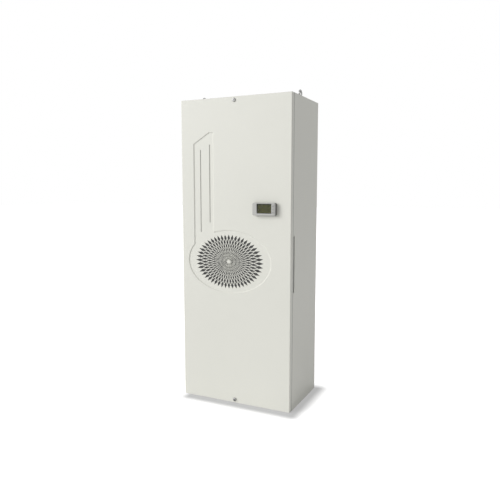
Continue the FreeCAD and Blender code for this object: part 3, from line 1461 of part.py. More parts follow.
def drain_tube():
    """The tube from the tray to the spout under the base pan."""
    piece = new_body("drain_tube")
    shoulder = "(spout_height + spout_length)"
    turn_round(piece, [
        ("drain_bore", "spout_height"),
        ("spout_radius", "spout_height"),
        ("spout_radius", shoulder),
        ("drain_radius", shoulder),
        ("drain_radius", FLOOR_TOP),
        ("drain_bore", FLOOR_TOP),
    ])
    return node(place(piece, DRAIN_X, "drain_depth", "0"))


# Electrical pieces

BOX_FRONT = "(box_rear + box_reach)"


def electrical_box():
    """An open box on the right side panel."""
    piece = new_body("electrical_box")
    block(piece, "box_left", INNER, "box_foot", "box_foot + box_tall", "box_rear", BOX_FRONT)
    hollow = rectangle(drawing(piece, "XZ_Plane", BOX_FRONT), "box_left + gauge", f"{INNER} - gauge",
                       "box_foot + gauge", "box_foot + box_tall - gauge")
    pocket(piece, hollow, "box_reach - gauge")
    return node(piece)


def electrical_cover():
    piece = new_body("electrical_cover")
    block(piece, "box_left", f"{INNER} - return_width", "box_foot", "box_foot + box_tall", BOX_FRONT,
          f"{BOX_FRONT} + gauge")
    return node(piece)


def run_capacitor():
    """A round can with two terminals on top, standing on the box's floor."""
    piece = new_body("run_capacitor")
    foot = "(box_foot + gauge)"
    turn_round(piece, [
        ("0", foot),
        ("capacitor_radius", foot),
        ("capacitor_radius", f"{foot} + capacitor_tall"),
        ("0", f"{foot} + capacitor_tall"),
    ])
    tabs = drawing(piece, "XY_Plane", f"{foot} + capacitor_tall")
    for side in (-1, 1):
        centred(tabs, f"{side} * capacitor_radius / 2", "0", "gauge", "capacitor_radius / 3")
    pad(piece, tabs, "capacitor_radius / 2")
    return node(place(piece, "box_left + gauge + capacitor_radius * 1.5",
                      "box_rear + gauge + capacitor_radius * 1.5", "0"))


def terminal_block():
    """A moulded strip with a row of clamp openings, on the box's rear wall."""
    piece = new_body("terminal_block")
    left = f"((box_left + {INNER} - terminal_width) / 2)"
    low = "(box_foot + gauge + terminal_rise)"
    back = "(box_rear + gauge)"
    front = f"({back} + terminal_reach)"
    block(piece, left, f"{left} + terminal_width", low, f"{low} + terminal_tall", back, front)
    cell = "(terminal_width / terminal_ways)"
    mouth = rectangle(drawing(piece, "XZ_Plane", front), f"{left} + terminal_wall",
                      f"{left} + {cell} - terminal_wall", f"{low} + 2 * terminal_wall",
                      f"{low} + terminal_tall / 2")
    row_pattern(piece, pocket(piece, mouth, "terminal_reach / 3"), "X_Axis", cell, "terminal_ways")
    return node(piece)


def cable_grommet():
    """A rubber bush in the rear panel, closed by a thin skin until a cable is led through."""
    piece = new_body("cable_grommet")
    turn_round(piece, [
        ("0", "0"),
        ("grommet_radius - fit_gap", "0"),
        ("grommet_radius - fit_gap", "gauge"),
        ("grommet_flange", "gauge"),
        ("grommet_flange", "2 * gauge"),
        ("0", "2 * gauge"),
    ])
    return node(place(piece, "grommet_x", "0", "grommet_height", FACING_FRONT))


# Assembly

side_panel("left_side_panel", -1)
side_panel("right_side_panel", 1)
top_panel()
base_pan()
base_flanges()
rear_panel()
rear_seal()
weld_nuts()
group("eye_bolts", [eye_bolt(x) for x in (f"-{EYE_X}", EYE_X)])
group("eye_bolt_nuts", [eye_nut(x) for x in (f"-{EYE_X}", EYE_X)])
chamber_partition()

front_cover()
filter_mat()
group("cover_screws", [cover_screw(height) for height in COVER_SCREWS])
group("cover_spacers", [cover_spacer(height) for height in COVER_SCREWS])
controller_bezel()
controller_lens()
controller_case()
controller_gasket()
controller_board()
controller_display()
group("controller_clips", [controller_clip(side) for side in (-1, 1)])
for label, rise in KEYS:
    key(label, rise)

condenser_fan_plate()
fan_back = f"{FAN_MOTOR_BACK} - strut_gauge"
motor_bracket("condenser_fan_bracket", "grille_x", "grille_height", fan_back, PLATE_DEPTH,
              f"({COLLAR_RADIUS} + gauge + strut_gap)", 1)
fan_motor("condenser_fan_motor", "grille_x", "grille_height", FAN_MOTOR_BACK, f"{FAN_FRONT} - gauge * 4", 1)
condenser_fan()
condenser_shelf()
fin_block("condenser_coil", COIL_LEFT, COIL_RIGHT, "shelf_height", COIL_TOP, "coil_rear")
end_plates("condenser_end_plates", COIL_LEFT, COIL_RIGHT, "shelf_height", "chamber_floor",
           "coil_rear", COIL_FRONT)
return_bends("condenser_bends", COIL_LEFT, COIL_RIGHT, CONDENSER_FIRST, CONDENSER_BENDS, CONDENSER_ROW)

compressor()
group("compressor_mounts", [compressor_mount(x, depth) for x, depth in foot_places()])
group("compressor_bolts", [compressor_bolt(x, depth) for x, depth in foot_places()])
accumulator()
dryer()
pipes()

fin_block("evaporator_coil", f"-{COOLER_HALF}", COOLER_HALF, "cooler_low", "cooler_high", "cooler_rear")
end_plates("evaporator_end_plates", f"-{COOLER_HALF}", COOLER_HALF, FLOOR_TOP, "cooler_high",
           "cooler_rear", COOLER_FRONT)
return_bends("evaporator_bends", f"-{COOLER_HALF}", COOLER_HALF, COOLER_FIRST, COOLER_BENDS, COOLER_ROW)
evaporator_baffle()
blower_reach = "(blower_radius + strut_gap)"
motor_bracket("evaporator_fan_bracket", "0", BLOWER_HEIGHT, f"{BLOWER_MOTOR_BACK} + strut_gauge", "gauge",
              blower_reach, -1)
fan_motor("evaporator_fan_motor", "0", BLOWER_HEIGHT, BLOWER_MOTOR_BACK,
          f"{BLOWER_BACK} - blower_hub + blower_disc * 2", -1)
evaporator_fan()
intake_ring()
intake_guard()
outlet_grille()
condensate_tray()
drain_tube()

electrical_box()
electrical_cover()
run_capacitor()
terminal_block()
cable_grommet()

doc.recompute()
for item in doc.Objects:
    if "Invalid" in item.State or "Error" in item.State:
        raise RuntimeError(f"{item.Name} ({item.Label}) failed: {item.State}")
for piece in nodes:
    if piece.Shape.isNull() or not piece.Shape.isValid():
        raise RuntimeError(f"{piece.Label} has no valid shape")

os.makedirs("parts", exist_ok=True)
for piece in nodes:
    piece.Shape.exportStep(f"parts/{piece.Label}.step")
print(f"{len(nodes)} sub-parts written")
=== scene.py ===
# %% [markdown]
# A wall-hung cooling unit.
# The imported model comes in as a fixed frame: every sheet, fan and pipe is already in its place, in metres.
# What is left to Blender is the looks: paint, zinc, copper and foam, and the small forms that a solid model
# keeps plain, such as screw drives, display figures and thin fins.

# %% Load the frame
import json
import math

import bmesh
import bpy
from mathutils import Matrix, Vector


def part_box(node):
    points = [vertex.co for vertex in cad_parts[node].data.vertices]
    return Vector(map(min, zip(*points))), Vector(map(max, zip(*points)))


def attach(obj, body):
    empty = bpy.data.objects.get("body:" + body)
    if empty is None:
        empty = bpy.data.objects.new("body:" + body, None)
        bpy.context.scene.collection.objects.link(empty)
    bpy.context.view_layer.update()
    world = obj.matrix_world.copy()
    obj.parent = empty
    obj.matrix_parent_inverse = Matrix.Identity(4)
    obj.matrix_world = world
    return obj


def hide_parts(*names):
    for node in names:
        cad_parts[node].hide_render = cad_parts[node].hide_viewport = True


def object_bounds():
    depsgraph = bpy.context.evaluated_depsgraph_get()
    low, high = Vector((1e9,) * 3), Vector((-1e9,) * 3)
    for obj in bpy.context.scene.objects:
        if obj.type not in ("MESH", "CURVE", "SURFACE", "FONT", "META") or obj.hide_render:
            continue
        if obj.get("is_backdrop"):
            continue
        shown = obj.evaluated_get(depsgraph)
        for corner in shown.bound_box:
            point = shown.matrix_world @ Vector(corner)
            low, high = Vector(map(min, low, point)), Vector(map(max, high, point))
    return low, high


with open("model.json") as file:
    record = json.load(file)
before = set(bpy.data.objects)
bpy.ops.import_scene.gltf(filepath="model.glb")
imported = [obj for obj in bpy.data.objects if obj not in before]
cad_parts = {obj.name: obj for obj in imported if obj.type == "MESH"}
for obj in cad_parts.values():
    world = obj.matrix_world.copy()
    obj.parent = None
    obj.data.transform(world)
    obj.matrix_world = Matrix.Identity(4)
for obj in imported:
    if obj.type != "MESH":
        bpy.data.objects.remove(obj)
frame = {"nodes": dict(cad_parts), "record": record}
cad_low, cad_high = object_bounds()
print("frame:", len(frame["nodes"]), "nodes, box", [round(side, 4) for side in cad_high - cad_low])

# %% [markdown]
# The camera.
# It could be placed by eye, but the casing is a plain box of known size, so its corners in the photograph
# fix the lens, the place and the direction of view. These numbers are the result of that fit.

# %% Camera
UNIT_MIDDLE = (cad_low + cad_high) / 2
camera_data = bpy.data.cameras.new("camera")
camera_data.sensor_width = 36
camera_data.lens = 37.9
camera = bpy.data.objects.new("camera", camera_data)
camera.location = (0.7948, -1.7755, 0.7174)
camera.rotation_euler = (math.radians(83.553), 0, math.radians(25.727))
bpy.context.scene.collection.objects.link(camera)
bpy.context.scene.camera = camera
bpy.context.scene.view_settings.view_transform = "Standard"
print("camera:", round((camera.location - UNIT_MIDDLE).length, 3), "m from the middle of the unit")

# %% [markdown]
# Shader maths as Python.
# A node tree can be clicked together, but a formula is easier to read. This small class wraps a socket, so
# that an expression such as 1 - mask adds its own Math nodes. Every other node comes from one method: its
# type, its settings, then the values or links of its sockets.


# %% A socket with arithmetic
class Thread:
    def __init__(self, tree, socket=None):
        self.tree = tree
        self.socket = socket

    def node(self, kind, settings, sockets, output=0):
        made = self.tree.nodes.new(kind)
        for name, value in settings.items():
            setattr(made, name, value)
        for name, value in sockets.items():
            if isinstance(value, Thread):
                self.tree.links.new(value.socket, made.inputs[name])
            else:
                made.inputs[name].default_value = value
        return Thread(self.tree, made.outputs[output])

    def maths(self, operation, first, second):
        return self.node("ShaderNodeMath", {"operation": operation}, {0: first, 1: second})

    def __add__(self, other):
        return self.maths("ADD", self, other)

    def __sub__(self, other):
        return self.maths("SUBTRACT", self, other)

    def __rsub__(self, other):
        return self.maths("SUBTRACT", other, self)

    def __mul__(self, other):
        return self.maths("MULTIPLY", self, other)

    __radd__ = __add__
    __rmul__ = __mul__


print("shader maths ready")

# %% [markdown]
# Light.
# A product photograph of a pale box is lit by one broad lamp from the upper left and by a bright room. The
# front then shows the paint about as it is, and the right side falls to about half of that. The lamp stands
# well back, so that the top of the tall front gets hardly more of it than the foot. It also stands well to
# the left, so that the left walls of the pressed field draw their dark lines. The world could be an image of
# a studio, but a plain one is enough: grey for light, and white where the camera, a gloss or a clear window
# looks at it.

# %% World and lamp
ROOM_LIGHT = 0.42
LAMP_AIM = Vector((0, 0, 0.5))
world = bpy.data.worlds.new("studio")
world.use_nodes = True
bpy.context.scene.world = world
room = Thread(world.node_tree)


def looked_at(thread):
    """1 where the camera, a gloss or a clear window looks, and 0 for light."""
    camera_ray = thread.node("ShaderNodeLightPath", {}, {}, "Is Camera Ray")
    glossy_ray = thread.node("ShaderNodeLightPath", {}, {}, "Is Glossy Ray")
    clear_ray = thread.node("ShaderNodeLightPath", {}, {}, "Is Transmission Ray")
    return thread.maths("MAXIMUM", camera_ray, thread.maths("MAXIMUM", glossy_ray, clear_ray))


sky = world.node_tree.nodes["Background"]
sky.inputs["Color"].default_value = (1, 1, 1, 1)
world.node_tree.links.new((ROOM_LIGHT + looked_at(room) * (1 - ROOM_LIGHT)).socket, sky.inputs["Strength"])

lamp_data = bpy.data.lights.new("broad_lamp", "AREA")
lamp_data.shape = "DISK"
lamp_data.size = 16
lamp_data.energy = 3580
lamp = bpy.data.objects.new("broad_lamp", lamp_data)
lamp.location = (-14.8, -13.8, 8.1)
lamp.rotation_euler = (LAMP_AIM - lamp.location).to_track_quat("-Z", "Y").to_euler()
bpy.context.scene.collection.objects.link(lamp)
print("lamp", lamp_data.energy, "W, room", ROOM_LIGHT)

# %% [markdown]
# The floor.
# A studio has a sheet of paper that sweeps up behind the object, so that no horizon shows. The sweep could
# be modelled, but one flat square is enough where its paint takes care of the horizon.


# %% Floor
def keep(name, mesh):
    """A new object at the origin that holds a finished bmesh."""
    data = bpy.data.meshes.new(name)
    mesh.to_mesh(data)
    mesh.free()
    piece = bpy.data.objects.new(name, data)
    bpy.context.scene.collection.objects.link(piece)
    return piece


FLOOR_HALF = 20
sheet = bmesh.new()
bmesh.ops.create_grid(sheet, x_segments=1, y_segments=1, size=FLOOR_HALF)
floor = keep("floor", sheet)
print("floor:", 2 * FLOOR_HALF, "m square")

# %% [markdown]
# The floor's paint.
# Seen directly, the pale sheet is lifted to white by a little light of its own, so that the horizon is lost.
# That light is weaker near the unit, where a soft shadow stays along the foot. The shadow lies a little to
# the right, away from the lamp, and is darkest where the unit stands. A lamp alone would throw it far across
# the sheet, so the paint draws it, from the distance to the unit's foot.

# %% Floor paint
FLOOR_TONE, FOOT_SHADE = 0.92, 0.70
FOOT_GLOW, MORE_GLOW = 0.38, 0.37
SHADOW_REACH = 0.05
SHADOW_LEAN = Vector((0.022, -0.004, 0))
SHADOW_TRIM = Vector((0.010, 0, 0))
floor_paint = bpy.data.materials.new("pale_floor")
floor_paint.use_nodes = True
floor_tree = floor_paint.node_tree
ground = Thread(floor_tree)
half = (cad_high - cad_low) / 2 - SHADOW_TRIM
foot = UNIT_MIDDLE + SHADOW_LEAN


def vector_maths(operation, first, second=(0, 0, 0), output="Vector"):
    return ground.node("ShaderNodeVectorMath", {"operation": operation}, {0: first, 1: second}, output)


spot = ground.node("ShaderNodeTexCoord", {}, {}, "Object")
offset = vector_maths("ABSOLUTE", vector_maths("SUBTRACT", spot, (foot.x, foot.y, 0)))
outside = vector_maths("MAXIMUM", vector_maths("SUBTRACT", offset, (half.x, half.y, 0)))
away = vector_maths("LENGTH", outside, output="Value")
fade = ground.node(
    "ShaderNodeMapRange", {"interpolation_type": "SMOOTHSTEP"}, {"Value": away, "From Max": SHADOW_REACH}
)
seen = looked_at(ground)
matt = ground.node("ShaderNodeBsdfDiffuse", {}, {"Color": FLOOR_TONE - FOOT_SHADE * seen * (1 - fade)})
glow = ground.node("ShaderNodeEmission", {}, {"Strength": seen * (FOOT_GLOW + MORE_GLOW * fade)})
lifted = ground.node("ShaderNodeAddShader", {}, {0: matt, 1: glow})
floor_tree.links.new(lifted.socket, floor_tree.nodes["Material Output"].inputs["Surface"])
floor.data.materials.append(floor_paint)
floor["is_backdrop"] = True
print("floor paint:", len(floor_tree.nodes), "nodes")

# %% [markdown]
# Finishes.
# Each finish starts from Blender's own Principled shader. Constants go straight on its sockets, and only
# what changes over the surface is linked. All patterns read Object coordinates, so they stay on the piece.


# %% Start a finish
def new_finish(name, **constants):
    material = bpy.data.materials.new(name)
    material.use_nodes = True
    shader = material.node_tree.nodes["Principled BSDF"]
    for socket, value in constants.items():
        shader.inputs[socket.replace("_", " ")].default_value = value
    start = Thread(material.node_tree)
    return material, shader, start.node("ShaderNodeTexCoord", {}, {}, "Object")


def feed(shader, **links):
    for socket, value in links.items():
        value.tree.links.new(value.socket, shader.inputs[socket.replace("_", " ")])


def noise(place, scale, detail):
    return place.node("ShaderNodeTexNoise", {}, {"Vector": place, "Scale": scale, "Detail": detail})


def blend(factor, first, second):
    """From the first colour to the second; each is a colour or a pattern of colours."""
    first, second = [colour if isinstance(colour, Thread) else (*colour, 1) for colour in (first, second)]
    return factor.node("ShaderNodeMix", {"data_type": "RGBA"}, {0: factor, 6: first, 7: second}, 2)


def ramp(value, low, high):
    """0 below low, 1 above high."""
    return value.node("ShaderNodeMapRange", {}, {"Value": value, "From Min": low, "From Max": high})


def bump(height, strength, distance):
    return height.node("ShaderNodeBump", {}, {"Height": height, "Strength": strength, "Distance": distance})


def along(place, axis):
    """One coordinate, in metres."""
    return place.node("ShaderNodeSeparateXYZ", {}, {"Vector": place}, axis)


finishes = {}
print("finish helpers ready")

# %% [markdown]
# Powder coat.
# The casing is sheet steel with a baked pale grey powder paint. Close up it has a fine orange peel and a
# satin gloss. A fine noise gives the peel, and a broad faint one keeps large panels from looking flat. On
# the cover, the paint in the two pressed creases is darkened as painted shade, standing in for the shade
# that falls in the grooves. That could be painted by hand, but the creases are the only outer faces above
# the grille that lie deeper than the pressed field, so depth and height find them.


# %% Casing paint
def powder_coat(name):
    material, shader, place = new_finish(name, Specular_IOR_Level=0.4)
    cloud = noise(place, 4, 3)
    feed(shader, Roughness=0.40 + 0.10 * cloud, Normal=bump(noise(place, 850, 1), 0.10, 0.0002))
    return material, shader, place, blend(cloud, (0.700, 0.700, 0.642), (0.738, 0.736, 0.678))


material, shader, place, paint = powder_coat("powder_coat")
feed(shader, Base_Color=paint)
finishes["casing_paint"] = material

COVER_FACE = -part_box("front_cover")[0].y
FIELD, CREASE, CREASE_FOOT = 0.0025, 0.0012, 0.576
CREASE_FLOOR = FIELD + CREASE
# Painted shade: in the two creases the paint is darkened towards a grey tone, to stand in for the shade in
# the grooves.
CREASE_SHADE_START, CREASE_SHADE_FULL = FIELD + 0.0002, FIELD + 0.0007
CREASE_SHADE_END, CREASE_SHADE_NONE = CREASE_FLOOR + 0.0001, CREASE_FLOOR + 0.0002
CREASE_SHADE_TONE = (0.43, 0.425, 0.39)
material, shader, place, paint = powder_coat("crease_shaded_powder_coat")
sunk = COVER_FACE + along(place, "Y")
below_field = ramp(sunk, CREASE_SHADE_START, CREASE_SHADE_FULL)
behind_sheet = ramp(sunk, CREASE_SHADE_END, CREASE_SHADE_NONE)
above_grille = place.maths("GREATER_THAN", along(place, "Z"), CREASE_FOOT)
# This mask is the painted shade in the creases, with a little noise in its strength.
crease_shade = below_field * (1 - behind_sheet) * above_grille * (0.8 + 0.4 * noise(place, 300, 2))
feed(shader, Base_Color=blend(crease_shade, paint, CREASE_SHADE_TONE))
cover_paint = material
print("casing paint and cover paint:", len(material.node_tree.nodes), "nodes")

# %% [markdown]
# Bright zinc.
# Screws, nuts and lifting eyes are zinc plated. The plating is a metal with a faint cloudy tint, duller in
# the patches where it was handled. One even grey would look like plastic, so a noise varies the tint,
# another the gloss, and a fine one dents the skin.

# %% Zinc plate
material, shader, place = new_finish("bright_zinc", Metallic=1)
cloud = noise(place, 160, 3)
feed(
    shader,
    Base_Color=blend(cloud, (0.24, 0.24, 0.25), (0.40, 0.40, 0.38)),
    Roughness=0.24 + 0.26 * noise(place, 420, 2),
    Normal=bump(noise(place, 2600, 1), 0.12, 0.0001),
)
finishes["zinc_steel"] = material
print("zinc_steel:", len(material.node_tree.nodes), "nodes")

# %% [markdown]
# Galvanised sheet.
# Inner walls are bare galvanised sheet, known by its spangle: flat crystals just under a centimetre across,
# each with its own grey. An image of it could be laid on, but a Voronoi pattern is made of just such cells.

# %% Galvanised sheet
material, shader, place = new_finish("galvanised_spangle", Metallic=0.9)
crystal = place.node("ShaderNodeTexVoronoi", {}, {"Vector": place, "Scale": 115.0}, "Color")
tone = crystal.node("ShaderNodeSeparateColor", {}, {"Color": crystal}, "Red")
feed(
    shader,
    Base_Color=blend(tone, (0.50, 0.52, 0.53), (0.61, 0.63, 0.64)),
    Roughness=0.38 + 0.12 * tone,
    Normal=bump(noise(place, 900, 2), 0.05, 0.0002),
)
finishes["galvanised_sheet"] = material
print("galvanised_sheet:", len(material.node_tree.nodes), "nodes")

# %% [markdown]
# Foam and rubber.
# Seals are closed-cell foam, full of tiny pits, and the filter mat behind the grille is a coarse grey foam
# that air can pass. Grommets and mounts are plain rubber with a light bloom. Pits are too many and too small
# to model, so a bump from Voronoi cells gives them.


# %% Foam and rubber
def pitted(name, pit_size, depth, tones):
    material, shader, place = new_finish(name, Specular_IOR_Level=0.25)
    pits = place.node("ShaderNodeTexVoronoi", {}, {"Vector": place, "Scale": 1 / pit_size}, "Distance")
    bloom = noise(place, 35, 4)
    feed(
        shader,
        Base_Color=blend(bloom, *tones),
        Roughness=0.68 + 0.24 * bloom,
        Normal=bump(pits, 0.5, depth),
    )
    return material


MAT_TONES = (0.048, 0.048, 0.048), (0.096, 0.096, 0.096)
FOAM_TONES = (0.012, 0.012, 0.013), (0.030, 0.030, 0.031)
RUBBER_TONES = (0.014, 0.014, 0.014), (0.034, 0.033, 0.032)
finishes["filter_foam"] = pitted("open_cell_mat", 0.0022, 0.0015, MAT_TONES)
finishes["foam"] = pitted("closed_cell_foam", 0.0011, 0.0004, FOAM_TONES)
finishes["black_rubber"] = pitted("rubber", 0.0006, 0.00005, RUBBER_TONES)
print("filter_foam, foam and black_rubber ready")

# %% [markdown]
# Moulded plastics.
# Moulded parts carry the fine spark-eroded grain of their tool and change tone very little. Each could have
# a finish of its own, but they differ only in two tones and a gloss, so one function makes them all.

# %% Plastics
PLASTIC_GLINT = 0.45


def tool_grain(place):
    """The grain of a moulding tool, as a pattern and as a bump."""
    skin = noise(place, 1900, 2)
    return skin, bump(skin, 0.22, 0.00012)


def moulded(name, tones, gloss):
    material, shader, place = new_finish(name, Specular_IOR_Level=PLASTIC_GLINT)
    skin, pimples = tool_grain(place)
    feed(
        shader,
        Base_Color=blend(noise(place, 28, 2), *tones),
        Roughness=(1 - gloss) + 0.10 * (skin - 0.5),
        Normal=pimples,
    )
    return material


finishes["black_plastic"] = moulded("black_moulding", ((0.018, 0.018, 0.019), (0.030, 0.030, 0.031)), 0.5)
finishes["tray_plastic"] = moulded("tray_moulding", ((0.60, 0.61, 0.60), (0.67, 0.68, 0.67)), 0.5)
print("plastics ready")

# %% [markdown]
# Key marks.
# Each key has a plain printed mark: a triangle that points up, one that points down, and a bar between them.
# A mark could be a thin plate, but flat ink has no edges, so it is a mask in the key's finish. A triangle is
# all that lies nearer to the key's middle line than a share of its distance below the tip.

# %% Keys
MARK, SLANT = 0.0034, 0.6
KEY_TONE, INK_TONE = (0.44, 0.44, 0.42), (0.12, 0.12, 0.12)
key_finish = {}
for node, tip in (("key_up", 1), ("key_set", 0), ("key_down", -1)):
    low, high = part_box(node)
    material, shader, place = new_finish(f"{node}_cap", Specular_IOR_Level=PLASTIC_GLINT)
    skin, pimples = tool_grain(place)
    aside = place.maths("ABSOLUTE", along(place, "X") - (low.x + high.x) / 2, 0)
    height = along(place, "Z") - (low.z + high.z) / 2
    if tip:
        height = tip * height
        ink = place.maths("LESS_THAN", aside, (MARK / 2 - height) * SLANT)
        ink = ink * place.maths("GREATER_THAN", height, -MARK / 2)
    else:
        ink = place.maths("LESS_THAN", aside, MARK / 2)
        ink = ink * place.maths("LESS_THAN", place.maths("ABSOLUTE", height, 0), MARK / 6)
    feed(
        shader,
        Base_Color=blend(ink, KEY_TONE, INK_TONE),
        Roughness=0.60 + 0.10 * skin,
        Normal=pimples,
    )
    key_finish[node] = material
print("keys:", len(key_finish), "marks")

# %% [markdown]
# The controller's frame.
# Its face is a light grey moulding, and behind the rounded front edge it goes over to the dark grey of the
# housing. On the real controller these are two shots of plastic. Here one material changes with the depth.

# %% Two-tone frame
FACE = -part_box("controller_bezel")[0].y
EDGE_START, EDGE_END = 0.0010, 0.0022
HOUSING_TONE = (0.165, 0.165, 0.156)
material, shader, place = new_finish("two_shot_frame", Specular_IOR_Level=PLASTIC_GLINT)
skin, pimples = tool_grain(place)
front = ramp(0 - along(place, "Y"), FACE - EDGE_END, FACE - EDGE_START)
face_grey = blend(skin, (0.43, 0.43, 0.41), (0.48, 0.48, 0.46))
feed(
    shader,
    Base_Color=blend(front, HOUSING_TONE, face_grey),
    Roughness=0.42 + 0.12 * skin,
    Normal=pimples,
)
finishes["bezel_plastic"] = material
print("bezel_plastic: face", round(FACE, 4), "m in front of the wall")

# %% [markdown]
# The display.
# A liquid crystal display is a dull olive glass behind a clear window, darker along its top, where the frame
# shades it. Real glass could bend the light, but in a flat window that costs time and shows nothing. So the
# window is mostly see-through with a dark tint, and light still reaches the figures behind it.

# %% Window and display glass
material, shader, place = new_finish("tinted_window", Alpha=0.38, Specular_IOR_Level=0.5)
smear = noise(place, 60, 4)
feed(
    shader,
    Base_Color=blend(smear, (0.020, 0.022, 0.010), (0.030, 0.032, 0.016)),
    Roughness=0.06 + 0.12 * smear,
)
finishes["display_window"] = material

SHADE_START, SHADE_END = 0.008, 0.002
SHADE_TONE = (0.150, 0.150, 0.030)
material, shader, place = new_finish("olive_glass", Roughness=0.35)
glass_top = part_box("controller_display")[1].z
shade = ramp(along(place, "Z"), glass_top - SHADE_START, glass_top - SHADE_END)
lit = blend(noise(place, 90, 2), (0.270, 0.271, 0.030), (0.315, 0.315, 0.042))
feed(shader, Base_Color=blend(shade, lit, SHADE_TONE))
finishes["display_module"] = material
print("display ready")

# %% [markdown]
# The circuit board.
# Green solder resist lies over copper tracks: straight strips at a fixed pitch, a shade lighter where copper
# is under the resist. The board is hardly seen, so a brick pattern stands in for a drawing of the tracks.

# %% Circuit board
material, shader, place = new_finish("solder_resist", Roughness=0.3)
tracks = place.node(
    "ShaderNodeTexBrick",
    {"offset": 0.5},
    {"Vector": place, "Scale": 240.0, "Mortar Size": 0.06, "Color1": (0, 0, 0, 1), "Color2": (1, 1, 1, 1)},
)
feed(shader, Base_Color=blend(tracks, (0.010, 0.085, 0.030), (0.022, 0.150, 0.055)))
finishes["circuit_board"] = material
print("circuit_board ready")

# %% [markdown]
# Black enamel.
# The compressor with its can, both fan motors and the intake guard are coated in black enamel, which runs a
# little before it sets. A plain gloss would look too even, so a thin clear coat gives the shine, and a
# shallow noise the uneven skin under it.

# %% Enamel
material, shader, place = new_finish("black_enamel", Coat_Weight=0.3, Coat_Roughness=0.15)
cloud = noise(place, 20, 4)
feed(
    shader,
    Base_Color=blend(cloud, (0.010, 0.010, 0.011), (0.022, 0.022, 0.023)),
    Roughness=0.32 + 0.16 * cloud,
    Normal=bump(noise(place, 420, 2), 0.14, 0.0003),
)
finishes["black_enamel"] = material
print("black_enamel ready")

# %% [markdown]
# Aluminium and copper.
# Fins and the cabinet fan are rolled aluminium with faint rolling lines. Copper tube is bright when new and
# goes brown in patches where it was brazed and handled. Each could be built by itself, but both are patches
# of tone with fine lines, so one function makes them.


# %% Aluminium and copper
def metal(name, tones, roughness, stretch):
    """A bare metal with patches of tone and fine marks; an uneven stretch draws them out into lines."""
    material, shader, place = new_finish(name, Metallic=1)
    patches = noise(place, 45, 4)
    lines = noise(place.node("ShaderNodeMapping", {}, {"Vector": place, "Scale": stretch}), 60, 3)
    feed(
        shader,
        Base_Color=blend(patches, *tones),
        Roughness=roughness + 0.22 * lines,
        Normal=bump(lines, 0.08, 0.0002),
    )
    return material


finishes["fin_aluminium"] = metal("fin_stock", ((0.62, 0.63, 0.64), (0.74, 0.75, 0.76)), 0.26, (40, 1, 1))
finishes["fan_aluminium"] = metal("fan_sheet", ((0.58, 0.59, 0.60), (0.70, 0.71, 0.72)), 0.30, (12, 12, 12))
finishes["copper"] = metal("drawn_copper", ((0.45, 0.20, 0.11), (0.80, 0.42, 0.27)), 0.20, (6, 6, 1))
print("metals ready")

# %% [markdown]
# Dress the frame.
# Each piece of the unit needs its finish. They could be given out one by one, but the record says which
# material slot a node belongs to, so one loop does it. The cover and the keys have a finish of their own.

# %% Paint the nodes
slot_of = {part["node"]: part["material_slot"] for part in frame["record"]["subparts"]}
own_finish = {"front_cover": cover_paint, **key_finish}
for name, piece in frame["nodes"].items():
    piece.data.materials.clear()
    piece.data.materials.append(own_finish[name] if name in own_finish else finishes[slot_of[name]])
print("painted", len(slot_of), "nodes with", len(finishes) + len(own_finish), "finishes")

# %% [markdown]
# Turned forms.
# Lifting eyes and screws are round. They could be put together from ready-made rings and cylinders, but a
# spun outline is one skin, as from a lathe, with no walls left inside. After it, what meets is welded, the
# faces are turned outwards, and the shading is smooth except over sharp steps.

# %% Spin, weld and dress
RIGHT, REAR, UP = Vector((1, 0, 0)), Vector((0, 1, 0)), Vector((0, 0, 1))
WELD = 0.000002
SHARP = math.radians(32)


def spin(mesh, points, axis, centre, steps, closed=False):
    """Turn a row of points fully round an axis; closed joins the last point to the first."""
    corners = [mesh.verts.new(point) for point in points]
    ends = corners[1:] + corners[:1] if closed else corners[1:]
    edges = [mesh.edges.new(pair) for pair in zip(corners, ends)]
    bmesh.ops.spin(
        mesh, geom=corners + edges, cent=centre, axis=axis, angle=2 * math.pi, steps=steps, use_merge=True
    )


def finish_mesh(mesh):
    """Weld what meets, turn the faces outwards and shade them smoothly, with sharp steps kept."""
    bmesh.ops.remove_doubles(mesh, verts=mesh.verts[:], dist=WELD)
    bmesh.ops.recalc_face_normals(mesh, faces=mesh.faces[:])
    for face in mesh.faces:
        face.smooth = True
    for edge in mesh.edges:
        edge.smooth = edge.is_boundary or edge.calc_face_angle(0) < SHARP


def dress(piece, finish, body, *nodes):
    """Give a new piece its finish and its body, and hide the nodes that it stands in for."""
    piece.data.materials.append(finishes[finish])
    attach(piece, body)
    if nodes:
        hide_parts(*nodes)
    print(piece.name, len(piece.data.polygons), "faces")


print("turned forms ready")

# %% [markdown]
# The lifting eyes.
# A lifting eye is forged from one bar: a round ring on a short neck with a collar, and a thread below that
# goes through the lid. The frame has a plainer one that could stay, but the eyes stand out against the
# white, so they are made rounder: a circle spun about the hole, and an outline spun about the thread.

# %% Lifting eyes
SIDES = 14


def ring_of(centre, first, second, radius):
    """Points of a circle in the plane of two directions."""
    turns = [2 * math.pi * (index + 0.5) / SIDES for index in range(SIDES)]
    return [centre + (first * math.cos(turn) + second * math.sin(turn)) * radius for turn in turns]


